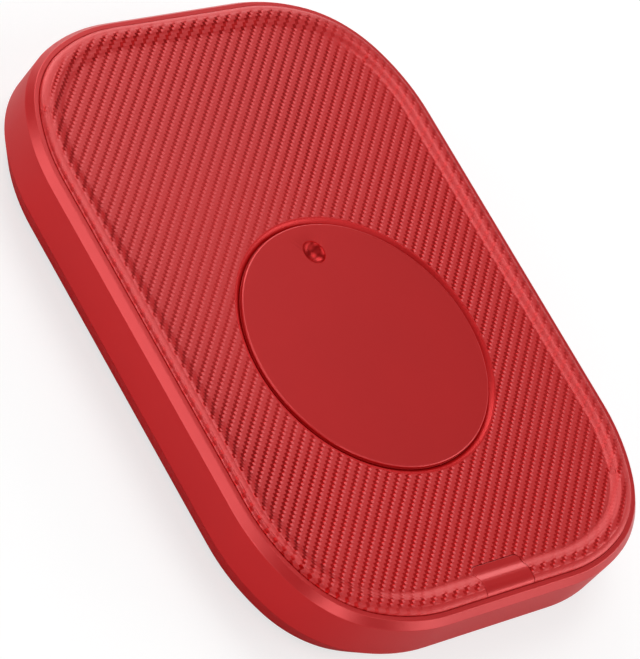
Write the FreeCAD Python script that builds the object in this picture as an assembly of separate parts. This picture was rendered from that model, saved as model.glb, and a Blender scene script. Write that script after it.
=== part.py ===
"""Turntable mouse jiggler: a slim puck whose disc turns slowly under a resting mouse.

Millimetres, +Z up, +Y along the length. The origin is on the table, at the centre of the
footprint. The power button is on the -Y side and the USB-C inlet on the +Y side.
"""
import FreeCAD, Part
import math
import os

Vec = FreeCAD.Vector

# ---------------------------------------------------------------- housing outline
WIDTH = 80.0
LENGTH = 110.0
CORNER_LENGTH = 26.5         # how far a corner's curve runs along each side
CORNER_LEAD_RADIUS = 32.0    # gentle arcs that lead into and out of each corner
CORNER_LEAD_ANGLE = 25.0     # degrees turned by each lead arc

# ---------------------------------------------------------------- housing heights
FOOT_STAND_HEIGHT = 0.8      # the housing's height above the table
BEVEL_HEIGHT = 4.3           # undercut along the bottom edge
BEVEL_INSET = 2.6
BODY_HEIGHT = 12.5           # bottom edge to the flat land round the cover
CHAMFER_HEIGHT = 1.3
CHAMFER_INSET = 0.95
LAND_WIDTH = 0.8             # flat ring between the chamfer and the cover

# ---------------------------------------------------------------- bezel frame walls
WALL_THICKNESS = 2.4
LEDGE_WIDTH = 1.9            # shelf that carries the cover's flange
LEDGE_HEIGHT = 1.4
COVER_RECESS_DEPTH = 1.6     # depth of the cover's seat below the land
SEAT_GAP = 0.12              # round any part that drops into the frame
FLOOR_THICKNESS = 1.8
FLOOR_EDGE_THICKNESS = 1.6   # frame wall left beside the floor at the table side
FLANGE_WIDTH = 1.4           # inner flange that the floor is pulled against
FLANGE_HEIGHT = 1.6

# ---------------------------------------------------------------- cover: carrier and woven skin
SKIN_THICKNESS = 0.6
RIDGE_HEIGHT = 0.7           # crest of the soft ridge above the flat middle
RIDGE_OUTER_WIDTH = 1.5      # outer foot to crest
RIDGE_INNER_WIDTH = 2.8      # crest to inner foot
RIDGE_STEPS = 4              # sections that shape each side of the ridge
HIDDEN_RIDGE_STEPS = 2       # the same under the skin
FLANGE_PLATE_THICKNESS = 0.6
CARRIER_THICKNESS = 1.5
BOSS_RADIUS = 2.5

# ---------------------------------------------------------------- turntable
DISC_RADIUS = 21.8
DISC_Y = -8.7
DISC_THICKNESS = 1.6
DISC_EDGE_WIDTH = 0.2
DISC_GAP = 0.3               # round the disc in its well
WELL_CHAMFER_WIDTH = 0.8
WELL_LIP_WIDTH = 0.3         # flat top of the well's rim, level with the skin
WELL_LEDGE_WIDTH = 2.4       # shelf under the disc's rim
WELL_LEDGE_THICKNESS = 0.7
SLIDE_RING_WIDTH = 1.0
SLIDE_RING_DEPTH = 0.3
SLIDE_GAP = 0.2
DIMPLE_RADIUS = 1.75
DIMPLE_DEPTH = 1.0
DIMPLE_STEPS = 3             # rings that shape the dimple
DIMPLE_OFFSET = 17.2         # disc centre to dimple
SKIRT_RADIUS = 12.0
SKIRT_WALL_THICKNESS = 1.4
SKIRT_LENGTH = 2.0

# ---------------------------------------------------------------- worm drive
MODULE = 0.5
WHEEL_TEETH = 72
WHEEL_THICKNESS = 2.0
PRESSURE_ANGLE = 20.0
BACKLASH_GAP = 0.16
TIP_CLEARANCE = 0.1
WORM_PITCH_RADIUS = 2.4
WORM_TURNS = 3.5
WORM_COLLAR_LENGTH = 0.8
SHAFT_RADIUS = 0.5
DRIVE_Z = 6.7                # height of the worm's axis and of the wheel's middle
RUNNING_CLEARANCE = 0.04
HUB_RADIUS = 4.0
HUB_HEIGHT = 3.6
AXLE_RADIUS = 1.0
AXLE_SINK_DEPTH = 1.2        # axle length pressed into the floor's post
POST_RADIUS = 3.5
WASHER_THICKNESS = 0.3
CLIP_THICKNESS = 0.4
CLIP_RADIUS = 2.3
CLIP_GROOVE_DEPTH = 0.3
AXLE_GAP = 0.1               # end float of the hub between washer and clip
WEB_HOLES = 6
WEB_HOLE_RADIUS = 2.2
CUP_GAP = 0.05
CUP_WALL_THICKNESS = 1.2     # gear's upstand that plugs into the disc's skirt

# ---------------------------------------------------------------- motor
MOTOR_RADIUS = 3.5
MOTOR_LENGTH = 14.0
MOTOR_CAP_LENGTH = 2.0
MOTOR_FRONT_X = 9.0
MOTOR_NOSE_RADIUS = 1.4
MOTOR_NOSE_LENGTH = 0.9
CRADLE_BASE_THICKNESS = 0.6
CRADLE_WALL_THICKNESS = 1.0
CRADLE_GAP = 0.05
BEARING_WIDTH = 2.0
BEARING_HALF_DEPTH = 2.2
CLAMP_WIDTH = 4.0
CLAMP_THICKNESS = 0.5
CLAMP_OFFSET = 8.0           # motor's front face to the strap's middle
CLAMP_HEAD_GAP = 0.1         # strap left outside the screw head
EAR_RADIUS = 1.8
EAR_THICKNESS = 1.2

# ---------------------------------------------------------------- boards and inlet
BOARD_THICKNESS = 1.0
BOARD_STAND_HEIGHT = 2.9     # board underside above the floor
MAIN_BOARD_WIDTH = 40.0
MAIN_BOARD_LENGTH = 24.0
BOARD_EDGE_GAP = 0.7         # board corner to the frame's inner wall
BOARD_HOLE_INSET = 3.0       # screw to the board's free edges
POST_GAP = 0.15              # round a floor post or cup
POST_WALL_THICKNESS = 1.1
USB_WIDTH = 8.94
USB_HEIGHT = 3.2
USB_LENGTH = 7.35
USB_SHELL_THICKNESS = 0.3
USB_SET_BACK_DEPTH = 0.4     # shell's mouth behind the outer wall
USB_WALL_GAP = 0.25
TONGUE_WIDTH = 6.7
TONGUE_THICKNESS = 0.7
CHIP_WIDTH = 5.0
CHIP_HEIGHT = 0.9
DRIVER_WIDTH = 4.0
PASSIVE_LENGTH = 1.6
PASSIVE_WIDTH = 0.8
PASSIVE_HEIGHT = 0.6
PASSIVE_COUNT = 5
PASSIVE_PITCH = 2.2
LED_LENGTH = 1.6
LED_WIDTH = 1.2
LED_HEIGHT = 0.7

# ---------------------------------------------------------------- power button
BUTTON_WIDTH = 10.2
BUTTON_LENGTH = 5.2
BUTTON_CORNER_RADIUS = 1.0
BUTTON_GAP = 0.15
BUTTON_TRAVEL_DEPTH = 0.3
STEM_WIDTH = 5.0
STEM_DEPTH = 2.0
STEM_INSET = 4.6             # outer wall to the stem's outer face
SWITCH_WIDTH = 4.0
SWITCH_DEPTH = 3.0
SWITCH_HEIGHT = 2.0
PLUNGER_RADIUS = 0.9
PLUNGER_HEIGHT = 0.5
PLUNGER_GAP = 0.1
HOOK_WIDTH = 0.5             # barbs that stop the cap lifting out of its guide
HOOK_HEIGHT = 0.4
HOOK_GAP = 0.1
GUIDE_WIDTH = 16.0
GUIDE_LENGTH = 5.6
GUIDE_EDGE_GAP = 0.8         # guide to the frame's ledge
GUIDE_GAP = 0.12
BUTTON_BOARD_WIDTH = 32.0
BUTTON_BOARD_LENGTH = 9.0

# ---------------------------------------------------------------- fasteners and feet
SCREW_RADIUS = 0.95
SCREW_HEAD_RADIUS = 1.9
SCREW_HEAD_HEIGHT = 1.2
SCREW_LENGTH = 6.5
SCREW_HOLE_GAP = 0.15
SCREW_SINK_DEPTH = 0.9       # head recessed behind the floor's face
SCREW_SEAT_THICKNESS = 1.2   # material under the screw head
SMALL_SCREW_RADIUS = 0.7
SMALL_HEAD_RADIUS = 1.3
SMALL_HEAD_HEIGHT = 0.6
SMALL_SCREW_LENGTH = 2.6
CLAMP_SCREW_LENGTH = 3.6
THREAD_CLEARANCE = 0.02      # screw in its moulded pilot hole
PILOT_SPARE_DEPTH = 0.2      # pilot hole past the screw's tip
BOSS_WALL_THICKNESS = 1.0
FOOT_RADIUS = 5.0
FOOT_POCKET_DEPTH = 0.6
FOOT_SIDE_INSET = 11.5       # foot centre to the long side
FOOT_BOSS_SPACING = 9.2      # along Y, foot centre to the screw beside it
FOOT_GAP = 0.1
FOOT_EASE_WIDTH = 0.3

# ---------------------------------------------------------------- wiring
FLEX_WIDTH = 6.0
FLEX_THICKNESS = 0.3
FLEX_SCREW_GAP = 0.7         # flex sockets to the board screws beside them
FLEX_BEND_RADIUS = 1.2
FLEX_RUN_LENGTH = 1.6        # run between a connector and the drop to the floor
CONNECTOR_WIDTH = 7.0
CONNECTOR_DEPTH = 2.6
CONNECTOR_HEIGHT = 1.6
LEAD_WIDTH = 1.4
LEAD_THICKNESS = 0.7
LEAD_PLUG_WIDTH = 3.6
LEAD_BEND_RADIUS = 2.2
LEAD_SIDE_GAP = 4.5          # motor's rear to the lead's run along Y
LEAD_PLUG_OFFSET = 6.8       # board's free edge to the lead's socket on its side edge

# ---------------------------------------------------------------- derived heights
BOTTOM_Z = FOOT_STAND_HEIGHT
FLOOR_TOP_Z = BOTTOM_Z + FLOOR_THICKNESS
LAND_Z = BOTTOM_Z + BODY_HEIGHT
LEDGE_TOP_Z = LAND_Z - COVER_RECESS_DEPTH
LEDGE_BOTTOM_Z = LEDGE_TOP_Z - LEDGE_HEIGHT
FLANGE_TOP_Z = FLOOR_TOP_Z + FLANGE_HEIGHT
SKIN_FOOT_Z = LEDGE_TOP_Z + FLANGE_PLATE_THICKNESS
CARRIER_TOP_Z = LAND_Z - SKIN_THICKNESS
CARRIER_BOTTOM_Z = CARRIER_TOP_Z - CARRIER_THICKNESS
BOSS_FOOT_Z = BOTTOM_Z + SCREW_SINK_DEPTH + SCREW_HEAD_HEIGHT + SCREW_SEAT_THICKNESS
DISC_BOTTOM_Z = LAND_Z - DISC_THICKNESS
WELL_LEDGE_TOP_Z = DISC_BOTTOM_Z - SLIDE_RING_DEPTH - SLIDE_GAP
WELL_BOTTOM_Z = WELL_LEDGE_TOP_Z - WELL_LEDGE_THICKNESS
WHEEL_BOTTOM_Z = DRIVE_Z - WHEEL_THICKNESS / 2
WHEEL_TOP_Z = DRIVE_Z + WHEEL_THICKNESS / 2
HUB_TOP_Z = WHEEL_BOTTOM_Z + HUB_HEIGHT
POST_TOP_Z = WHEEL_BOTTOM_Z - AXLE_GAP - WASHER_THICKNESS
CLIP_Z = HUB_TOP_Z + AXLE_GAP
EAR_Z = DRIVE_Z - EAR_THICKNESS
BOARD_Z = FLOOR_TOP_Z + BOARD_STAND_HEIGHT
BOARD_TOP_Z = BOARD_Z + BOARD_THICKNESS
PLUNGER_TOP_Z = BOARD_TOP_Z + SWITCH_HEIGHT + PLUNGER_HEIGHT
STEM_BOTTOM_Z = PLUNGER_TOP_Z + PLUNGER_GAP
GUIDE_BOTTOM_Z = STEM_BOTTOM_Z + HOOK_HEIGHT + HOOK_GAP
USB_Z = BOARD_TOP_Z + USB_HEIGHT / 2
LEAD_Z = BOARD_TOP_Z + CONNECTOR_HEIGHT / 2

# ---------------------------------------------------------------- derived corner of the outline
LEAD_ANGLE = math.radians(CORNER_LEAD_ANGLE)
LEAD_SPAN = CORNER_LEAD_RADIUS * (1 - math.cos(LEAD_ANGLE) + math.sin(LEAD_ANGLE))
TIP_RADIUS = (CORNER_LENGTH - LEAD_SPAN) / (math.cos(LEAD_ANGLE) - math.sin(LEAD_ANGLE))
SIDE_CENTRE = Vec(WIDTH / 2 - CORNER_LEAD_RADIUS, LENGTH / 2 - CORNER_LENGTH)
END_CENTRE = Vec(WIDTH / 2 - CORNER_LENGTH, LENGTH / 2 - CORNER_LEAD_RADIUS)
LEAD_DIRECTION = Vec(math.cos(LEAD_ANGLE), math.sin(LEAD_ANGLE))
TIP_CENTRE = SIDE_CENTRE + LEAD_DIRECTION * (CORNER_LEAD_RADIUS - TIP_RADIUS)


def short_side_y(x, inset):
    """Y of the outline's +Y side at x, moved inwards by inset, on its flat or its lead arc."""
    run = max(abs(x) - END_CENTRE.x, 0)
    return END_CENTRE.y + math.sqrt((CORNER_LEAD_RADIUS - inset) ** 2 - run ** 2)


# ---------------------------------------------------------------- derived places in plan
RECESS_INSET = CHAMFER_INSET + LAND_WIDTH
COVER_INSET = RECESS_INSET + SEAT_GAP
LEDGE_INSET = RECESS_INSET + LEDGE_WIDTH
FLOOR_INSET = BEVEL_INSET + FLOOR_EDGE_THICKNESS
CREST_INSET = COVER_INSET + RIDGE_OUTER_WIDTH
WELL_RADIUS = DISC_RADIUS + DISC_GAP
WELL_RIM_RADIUS = WELL_RADIUS + WELL_CHAMFER_WIDTH + WELL_LIP_WIDTH
PLUG_RADIUS = SKIRT_RADIUS - SKIRT_WALL_THICKNESS
WHEEL_PITCH_RADIUS = MODULE * WHEEL_TEETH / 2
WHEEL_ROOT_RADIUS = WHEEL_PITCH_RADIUS - MODULE - TIP_CLEARANCE
WORM_ROOT_RADIUS = WORM_PITCH_RADIUS - MODULE - TIP_CLEARANCE
WORM_PITCH = math.pi * MODULE
WORM_LENGTH = WORM_PITCH * WORM_TURNS
WORM_Y = DISC_Y + WHEEL_PITCH_RADIUS + WORM_PITCH_RADIUS
WORM_END_X = WORM_LENGTH / 2 + WORM_COLLAR_LENGTH
BEARING_X = -WORM_END_X - DISC_GAP - BEARING_WIDTH / 2
MOTOR_REAR_X = MOTOR_FRONT_X + MOTOR_LENGTH
CLAMP_X = MOTOR_FRONT_X + CLAMP_OFFSET
BUTTON_INNER_Y = -LENGTH / 2 + COVER_INSET + BUTTON_LENGTH
STEM_Y = -LENGTH / 2 + STEM_INSET + STEM_DEPTH / 2
USB_MOUTH_Y = LENGTH / 2 - USB_SET_BACK_DEPTH
BOARD_INSET = WALL_THICKNESS + BOARD_EDGE_GAP
MAIN_BOARD_EDGE_Y = short_side_y(MAIN_BOARD_WIDTH / 2, BOARD_INSET)
MAIN_BOARD_FRONT_Y = MAIN_BOARD_EDGE_Y - MAIN_BOARD_LENGTH
BUTTON_BOARD_EDGE_Y = -short_side_y(BUTTON_BOARD_WIDTH / 2, BOARD_INSET)
BUTTON_BOARD_BACK_Y = BUTTON_BOARD_EDGE_Y + BUTTON_BOARD_LENGTH
POST_SCREW_RADIUS = SMALL_SCREW_RADIUS + THREAD_CLEARANCE + POST_WALL_THICKNESS
POST_INSET = FLOOR_INSET + FLANGE_WIDTH + POST_GAP + POST_SCREW_RADIUS
SCREW_CUP_RADIUS = SCREW_HEAD_RADIUS + SCREW_HOLE_GAP + BOSS_WALL_THICKNESS
BOSS_INSET = FLOOR_INSET + FLANGE_WIDTH + POST_GAP + SCREW_CUP_RADIUS
BOSS = TIP_CENTRE + Vec(math.sqrt(0.5), math.sqrt(0.5)) * (TIP_RADIUS - BOSS_INSET)
FOOT = Vec(WIDTH / 2 - FOOT_SIDE_INSET, BOSS.y - FOOT_BOSS_SPACING)
CLAMP_SCREW_OFFSET = MOTOR_RADIUS + CRADLE_WALL_THICKNESS + POST_GAP + POST_SCREW_RADIUS
BEARING_SCREW_OFFSET = BEARING_HALF_DEPTH + POST_GAP + POST_SCREW_RADIUS
LEAD_LANE_X = MOTOR_REAR_X + MOTOR_CAP_LENGTH + LEAD_SIDE_GAP
LEAD_PLUG_Y = MAIN_BOARD_FRONT_Y + LEAD_PLUG_OFFSET
FLEX_SCREW_SPACING = SMALL_HEAD_RADIUS + FLEX_SCREW_GAP + CONNECTOR_WIDTH / 2
FLEX_X = FLEX_SCREW_SPACING + BOARD_HOLE_INSET - MAIN_BOARD_WIDTH / 2


# ================================================================ shared shapes
def outline(inset, z):
    """Closed outline of the housing, moved inwards by inset: four sides, three arcs a corner."""
    arcs = (
        (SIDE_CENTRE, CORNER_LEAD_RADIUS - inset, 0.0, LEAD_ANGLE),
        (TIP_CENTRE, TIP_RADIUS - inset, LEAD_ANGLE, math.pi / 2 - LEAD_ANGLE),
        (END_CENTRE, CORNER_LEAD_RADIUS - inset, math.pi / 2 - LEAD_ANGLE, math.pi / 2),
    )
    quarter = []
    for centre, radius, start, stop in arcs:
        steps = [start, (start + stop) / 2, stop]
        quarter.append([centre + Vec(radius * math.cos(a), radius * math.sin(a)) for a in steps])
    edges = []
    previous = None
    for sign_x, sign_y in ((1, 1), (-1, 1), (-1, -1), (1, -1)):
        corner = [[Vec(sign_x * p.x, sign_y * p.y, z) for p in arc] for arc in quarter]
        if sign_x * sign_y < 0:
            corner = [arc[::-1] for arc in corner[::-1]]
        if previous is not None:
            edges.append(Part.LineSegment(previous, corner[0][0]).toShape())
        edges += [Part.Arc(*arc).toShape() for arc in corner]
        previous = corner[-1][-1]
    first = edges[0].Vertexes[0].Point
    edges.append(Part.LineSegment(previous, first).toShape())
    return Part.Wire(edges)


def slab(inset, bottom, top):
    """Flat plate that follows the housing's outline."""
    return Part.Face(outline(inset, bottom)).extrude(Vec(0, 0, top - bottom))


def layered(sections):
    """Solid through outlines given as (inset, height), straight from each to the next."""
    return Part.makeLoft([outline(inset, z) for inset, z in sections], True, True)


def cylinder(radius, x, y, bottom, top):
    return Part.makeCylinder(radius, top - bottom, Vec(x, y, bottom))


def rod(radius, start_x, end_x):
    """Cylinder on the worm's axis."""
    return Part.makeCylinder(radius, end_x - start_x, Vec(start_x, WORM_Y, DRIVE_Z), Vec(1, 0, 0))


def tube(outer, inner, x, y, bottom, top):
    return cylinder(outer, x, y, bottom, top).cut(cylinder(inner, x, y, bottom, top))


def block(x_range, y_range, z_range):
    low = Vec(x_range[0], y_range[0], z_range[0])
    size = [span[1] - span[0] for span in (x_range, y_range, z_range)]
    return Part.makeBox(*size, low)


def centred(x, y, width, depth, bottom, top):
    """Block centred on x and y."""
    return block((x - width / 2, x + width / 2), (y - depth / 2, y + depth / 2), (bottom, top))


def rounded_plate(x_range, y_range, z_range, corner):
    """Block whose four upright edges are rounded."""
    solid = block(x_range, y_range, z_range)
    upright = [e for e in solid.Edges if abs(e.Vertexes[0].Z - e.Vertexes[1].Z) > corner / 100]
    return solid.makeFillet(corner, upright)


def revolved(profile, x, y):
    """Ring from a closed (radius, height) profile about an upright axis."""
    points = [Vec(x + radius, y, z) for radius, z in profile]
    face = Part.Face(Part.makePolygon(points + points[:1]))
    return face.revolve(Vec(x, y, 0), Vec(0, 0, 1), 360)


def fused(first, *others):
    return first.fuse(list(others)).removeSplitter()


def four_places(place):
    """The place in the +X +Y quarter and its mirror images."""
    return [(side * place.x, end * place.y) for side in (-1, 1) for end in (-1, 1)]


def bent_path(points, bend):
    """Straight runs joined by tangent arcs of one radius."""
    edges = []
    start = points[0]
    for before, corner, after in zip(points, points[1:], points[2:]):
        into = (corner - before).normalize()
        away = (after - corner).normalize()
        turn = into.getAngle(away)
        setback = bend * math.tan(turn / 2)
        enter = corner - into * setback
        leave = corner + away * setback
        inward = (away - into).normalize()
        centre = corner + inward * (bend / math.cos(turn / 2))
        edges.append(Part.LineSegment(start, enter).toShape())
        edges.append(Part.Arc(enter, centre - inward * bend, leave).toShape())
        start = leave
    edges.append(Part.LineSegment(start, points[-1]).toShape())
    return Part.Wire(edges)


def ribbon(points, bend, width_along, width, thickness):
    """Flat strip along a bent path that starts along Y or X; width_along is its broad direction."""
    first = (points[1] - points[0]).normalize()
    across = width_along * (width / 2)
    up = first.cross(width_along) * (thickness / 2)
    section = [points[0] + across + up, points[0] + across - up]
    section += [points[0] - across - up, points[0] - across + up]
    profile = Part.makePolygon(section + section[:1])
    return bent_path(points, bend).makePipeShell([profile], True, False)


def screw(radius, head_radius, head_height, length):
    """Plain pan head above z = 0, plain shank below."""
    return revolved((
        (0, -length),
        (radius, -length),
        (radius, 0),
        (head_radius, 0),
        (head_radius, head_height),
        (0, head_height),
    ), 0, 0)


def placed(shape, x, y, z):
    copy = shape.copy()
    copy.translate(Vec(x, y, z))
    return copy


def small_screw(length):
    return screw(SMALL_SCREW_RADIUS, SMALL_HEAD_RADIUS, SMALL_HEAD_HEIGHT, length)


def pilot_hole(x, y, top, depth):
    """Blind hole for a small screw."""
    return cylinder(SMALL_SCREW_RADIUS + THREAD_CLEARANCE, x, y, top - depth - PILOT_SPARE_DEPTH, top)


def clearance_hole(x, y, bottom, top):
    return cylinder(SMALL_SCREW_RADIUS + SCREW_HOLE_GAP, x, y, bottom, top)


# ================================================================ housing
def usb_profile(grow, start_y, end_y):
    """Rounded bar on the inlet's axis, grown all round by grow."""
    half_width = USB_WIDTH / 2 + grow
    half_height = USB_HEIGHT / 2 + grow
    bar = block((-half_width, half_width), (start_y, end_y), (USB_Z - half_height, USB_Z + half_height))
    along = [e for e in bar.Edges if abs(e.Vertexes[0].Y - e.Vertexes[1].Y) > (end_y - start_y) / 2]
    return bar.makeFillet(half_height * 0.9, along)


def bezel_frame():
    """Side wall with its undercut and chamfer, the cover's seat, and the floor's flange."""
    body = layered((
        (BEVEL_INSET, BOTTOM_Z),
        (0, BOTTOM_Z + BEVEL_HEIGHT),
        (0, LAND_Z - CHAMFER_HEIGHT),
        (CHAMFER_INSET, LAND_Z),
    ))
    spare = COVER_RECESS_DEPTH
    for inset, bottom, top in (
        (FLOOR_INSET, BOTTOM_Z - spare, FLOOR_TOP_Z),
        (FLOOR_INSET + FLANGE_WIDTH, FLOOR_TOP_Z, FLANGE_TOP_Z),
        (WALL_THICKNESS, FLANGE_TOP_Z, LEDGE_BOTTOM_Z),
        (LEDGE_INSET, LEDGE_BOTTOM_Z, LEDGE_TOP_Z),
        (RECESS_INSET, LEDGE_TOP_Z, LAND_Z + spare),
    ):
        body = body.cut(slab(inset, bottom, top))
    inlet = usb_profile(USB_WALL_GAP, MAIN_BOARD_EDGE_Y, LENGTH / 2 + spare)
    return body.cut(inlet)


def bottom_cover():
    """Floor with screw cups, foot pockets, the axle's post and the board posts."""
    plate = slab(FLOOR_INSET + SEAT_GAP, BOTTOM_Z, FLOOR_TOP_Z)
    cups = [cylinder(SCREW_CUP_RADIUS, x, y, BOTTOM_Z, BOSS_FOOT_Z) for x, y in four_places(BOSS)]
    posts = [cylinder(POST_RADIUS, 0, DISC_Y, BOTTOM_Z, POST_TOP_Z)]
    posts += [cylinder(POST_SCREW_RADIUS, x, y, BOTTOM_Z, BOARD_Z) for x, y in board_holes()]
    posts += [cylinder(POST_SCREW_RADIUS, x, y, BOTTOM_Z, EAR_Z) for x, y in cradle_holes()]
    body = fused(plate, *cups, *posts)
    for x, y in four_places(BOSS):
        head_top = BOTTOM_Z + SCREW_SINK_DEPTH + SCREW_HEAD_HEIGHT
        body = body.cut(cylinder(SCREW_HEAD_RADIUS + SCREW_HOLE_GAP, x, y, BOTTOM_Z, head_top))
        body = body.cut(cylinder(SCREW_RADIUS + SCREW_HOLE_GAP, x, y, BOTTOM_Z, BOSS_FOOT_Z))
    for x, y in four_places(FOOT):
        body = body.cut(cylinder(FOOT_RADIUS, x, y, BOTTOM_Z, BOTTOM_Z + FOOT_POCKET_DEPTH))
    for x, y in board_holes():
        body = body.cut(pilot_hole(x, y, BOARD_Z, SMALL_SCREW_LENGTH - BOARD_THICKNESS))
    clamp_depth = CLAMP_SCREW_LENGTH - EAR_THICKNESS - CLAMP_THICKNESS
    bearing_depth = SMALL_SCREW_LENGTH - EAR_THICKNESS
    for (x, y), depth in zip(cradle_holes(), (clamp_depth, clamp_depth, bearing_depth)):
        body = body.cut(pilot_hole(x, y, EAR_Z, depth))
    return body.cut(cylinder(AXLE_RADIUS, 0, DISC_Y, FLOOR_TOP_Z - AXLE_SINK_DEPTH, POST_TOP_Z))


def rubber_feet():
    """Rubber pads stuck in the floor's pockets, eased at the table side."""
    radius = FOOT_RADIUS - FOOT_GAP
    foot = revolved((
        (0, 0),
        (radius - FOOT_EASE_WIDTH, 0),
        (radius, FOOT_EASE_WIDTH),
        (radius, FOOT_STAND_HEIGHT + FOOT_POCKET_DEPTH),
        (0, FOOT_STAND_HEIGHT + FOOT_POCKET_DEPTH),
    ), 0, 0)
    return Part.makeCompound([placed(foot, x, y, 0) for x, y in four_places(FOOT)])


def housing_screws():
    one = screw(SCREW_RADIUS, SCREW_HEAD_RADIUS, SCREW_HEAD_HEIGHT, SCREW_LENGTH)
    one.rotate(Vec(0, 0, 0), Vec(1, 0, 0), 180)
    seat = BOTTOM_Z + SCREW_SINK_DEPTH + SCREW_HEAD_HEIGHT
    return Part.makeCompound([placed(one, x, y, seat) for x, y in four_places(BOSS)])


# ================================================================ cover
def ridge_sections(peel, steps):
    """Sections of the cover from its foot, up over the soft ridge, to its flat middle.

    peel takes that thickness off the outside, so the carrier fits under the skin.
    """
    outer = COVER_INSET + peel
    base = LAND_Z - peel
    sections = [(outer, SKIN_FOOT_Z)]
    for i in range(steps + 1):
        angle = math.pi / 2 * i / steps
        run = (CREST_INSET - outer) * (1 - math.cos(angle))
        sections.append((outer + run, base + RIDGE_HEIGHT * math.sin(angle)))
    for i in range(1, steps + 1):
        share = i / steps
        fall = RIDGE_HEIGHT * share ** 2
        sections.append((CREST_INSET + RIDGE_INNER_WIDTH * share, base + RIDGE_HEIGHT - fall))
    return sections


def cover_form():
    """Everything inside the skin's outer face."""
    return layered(ridge_sections(0, RIDGE_STEPS))


def carrier_form():
    """Everything inside the skin's inner face."""
    return layered(ridge_sections(SKIN_THICKNESS, HIDDEN_RIDGE_STEPS))


def button_notch(gap):
    """Upright cutter of the button's plan, open past the cover's edge."""
    half_width = BUTTON_WIDTH / 2 + gap
    return rounded_plate(
        (-half_width, half_width),
        (-LENGTH / 2 - BUTTON_LENGTH, BUTTON_INNER_Y + gap),
        (LEDGE_BOTTOM_Z, LAND_Z + RIDGE_HEIGHT + BUTTON_GAP),
        BUTTON_CORNER_RADIUS + gap,
    )


def woven_skin():
    """Thin woven layer over the carrier, open round the turntable and the button."""
    skin = cover_form().cut(carrier_form())
    skin = skin.cut(cylinder(WELL_RIM_RADIUS, 0, DISC_Y, SKIN_FOOT_Z, LAND_Z + RIDGE_HEIGHT))
    return skin.cut(button_notch(BUTTON_GAP))


def top_carrier():
    """Rigid cover under the skin: flange, screw bosses and the turntable's stepped well."""
    flange = slab(COVER_INSET, LEDGE_TOP_Z, SKIN_FOOT_Z)
    plug = slab(LEDGE_INSET + SEAT_GAP, CARRIER_BOTTOM_Z, LEDGE_TOP_Z)
    bosses = [
        cylinder(BOSS_RADIUS, x, y, BOSS_FOOT_Z, CARRIER_TOP_Z)
        for x, y in four_places(BOSS)
    ]
    body = fused(carrier_form(), flange, plug, *bosses)
    body = body.cut(cylinder(WELL_RIM_RADIUS, 0, DISC_Y, CARRIER_BOTTOM_Z, LAND_Z + RIDGE_HEIGHT))
    ledge_radius = WELL_RADIUS - WELL_LEDGE_WIDTH
    well = revolved((
        (ledge_radius, WELL_BOTTOM_Z),
        (WELL_RIM_RADIUS, WELL_BOTTOM_Z),
        (WELL_RIM_RADIUS, LAND_Z),
        (WELL_RADIUS + WELL_CHAMFER_WIDTH, LAND_Z),
        (WELL_RADIUS, LAND_Z - WELL_CHAMFER_WIDTH),
        (WELL_RADIUS, WELL_LEDGE_TOP_Z),
        (ledge_radius, WELL_LEDGE_TOP_Z),
    ), 0, DISC_Y)
    body = fused(body, well).cut(button_notch(BUTTON_GAP))
    pilot = SCREW_RADIUS + THREAD_CLEARANCE
    screw_top = BOTTOM_Z + SCREW_SINK_DEPTH + SCREW_HEAD_HEIGHT + SCREW_LENGTH
    for x, y in four_places(BOSS):
        body = body.cut(cylinder(pilot, x, y, BOSS_FOOT_Z, screw_top + PILOT_SPARE_DEPTH))
    return body


# ================================================================ turntable
def turntable_disc():
    """Disc with a finger dimple, a slide ring under its rim and a skirt that grips the gear."""
    body = revolved((
        (0, DISC_BOTTOM_Z),
        (PLUG_RADIUS, DISC_BOTTOM_Z),
        (PLUG_RADIUS, DISC_BOTTOM_Z - SKIRT_LENGTH),
        (SKIRT_RADIUS, DISC_BOTTOM_Z - SKIRT_LENGTH),
        (SKIRT_RADIUS, DISC_BOTTOM_Z),
        (WELL_RADIUS - WELL_LEDGE_WIDTH + DISC_GAP, DISC_BOTTOM_Z),
        (WELL_RADIUS - WELL_LEDGE_WIDTH + DISC_GAP, DISC_BOTTOM_Z - SLIDE_RING_DEPTH),
        (WELL_RADIUS - WELL_LEDGE_WIDTH + DISC_GAP + SLIDE_RING_WIDTH, DISC_BOTTOM_Z - SLIDE_RING_DEPTH),
        (WELL_RADIUS - WELL_LEDGE_WIDTH + DISC_GAP + SLIDE_RING_WIDTH, DISC_BOTTOM_Z),
        (DISC_RADIUS, DISC_BOTTOM_Z),
        (DISC_RADIUS, LAND_Z - DISC_EDGE_WIDTH),
        (DISC_RADIUS - DISC_EDGE_WIDTH, LAND_Z),
        (0, LAND_Z),
    ), 0, DISC_Y)
    ball = (DIMPLE_RADIUS ** 2 + DIMPLE_DEPTH ** 2) / (2 * DIMPLE_DEPTH)
    hollow = [(0, LAND_Z)]
    for i in range(DIMPLE_STEPS + 1):
        radius = DIMPLE_RADIUS * i / DIMPLE_STEPS
        hollow.append((radius, LAND_Z - DIMPLE_DEPTH + ball - math.sqrt(ball ** 2 - radius ** 2)))
    return body.cut(revolved(hollow, 0, DISC_Y + DIMPLE_OFFSET))


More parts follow.
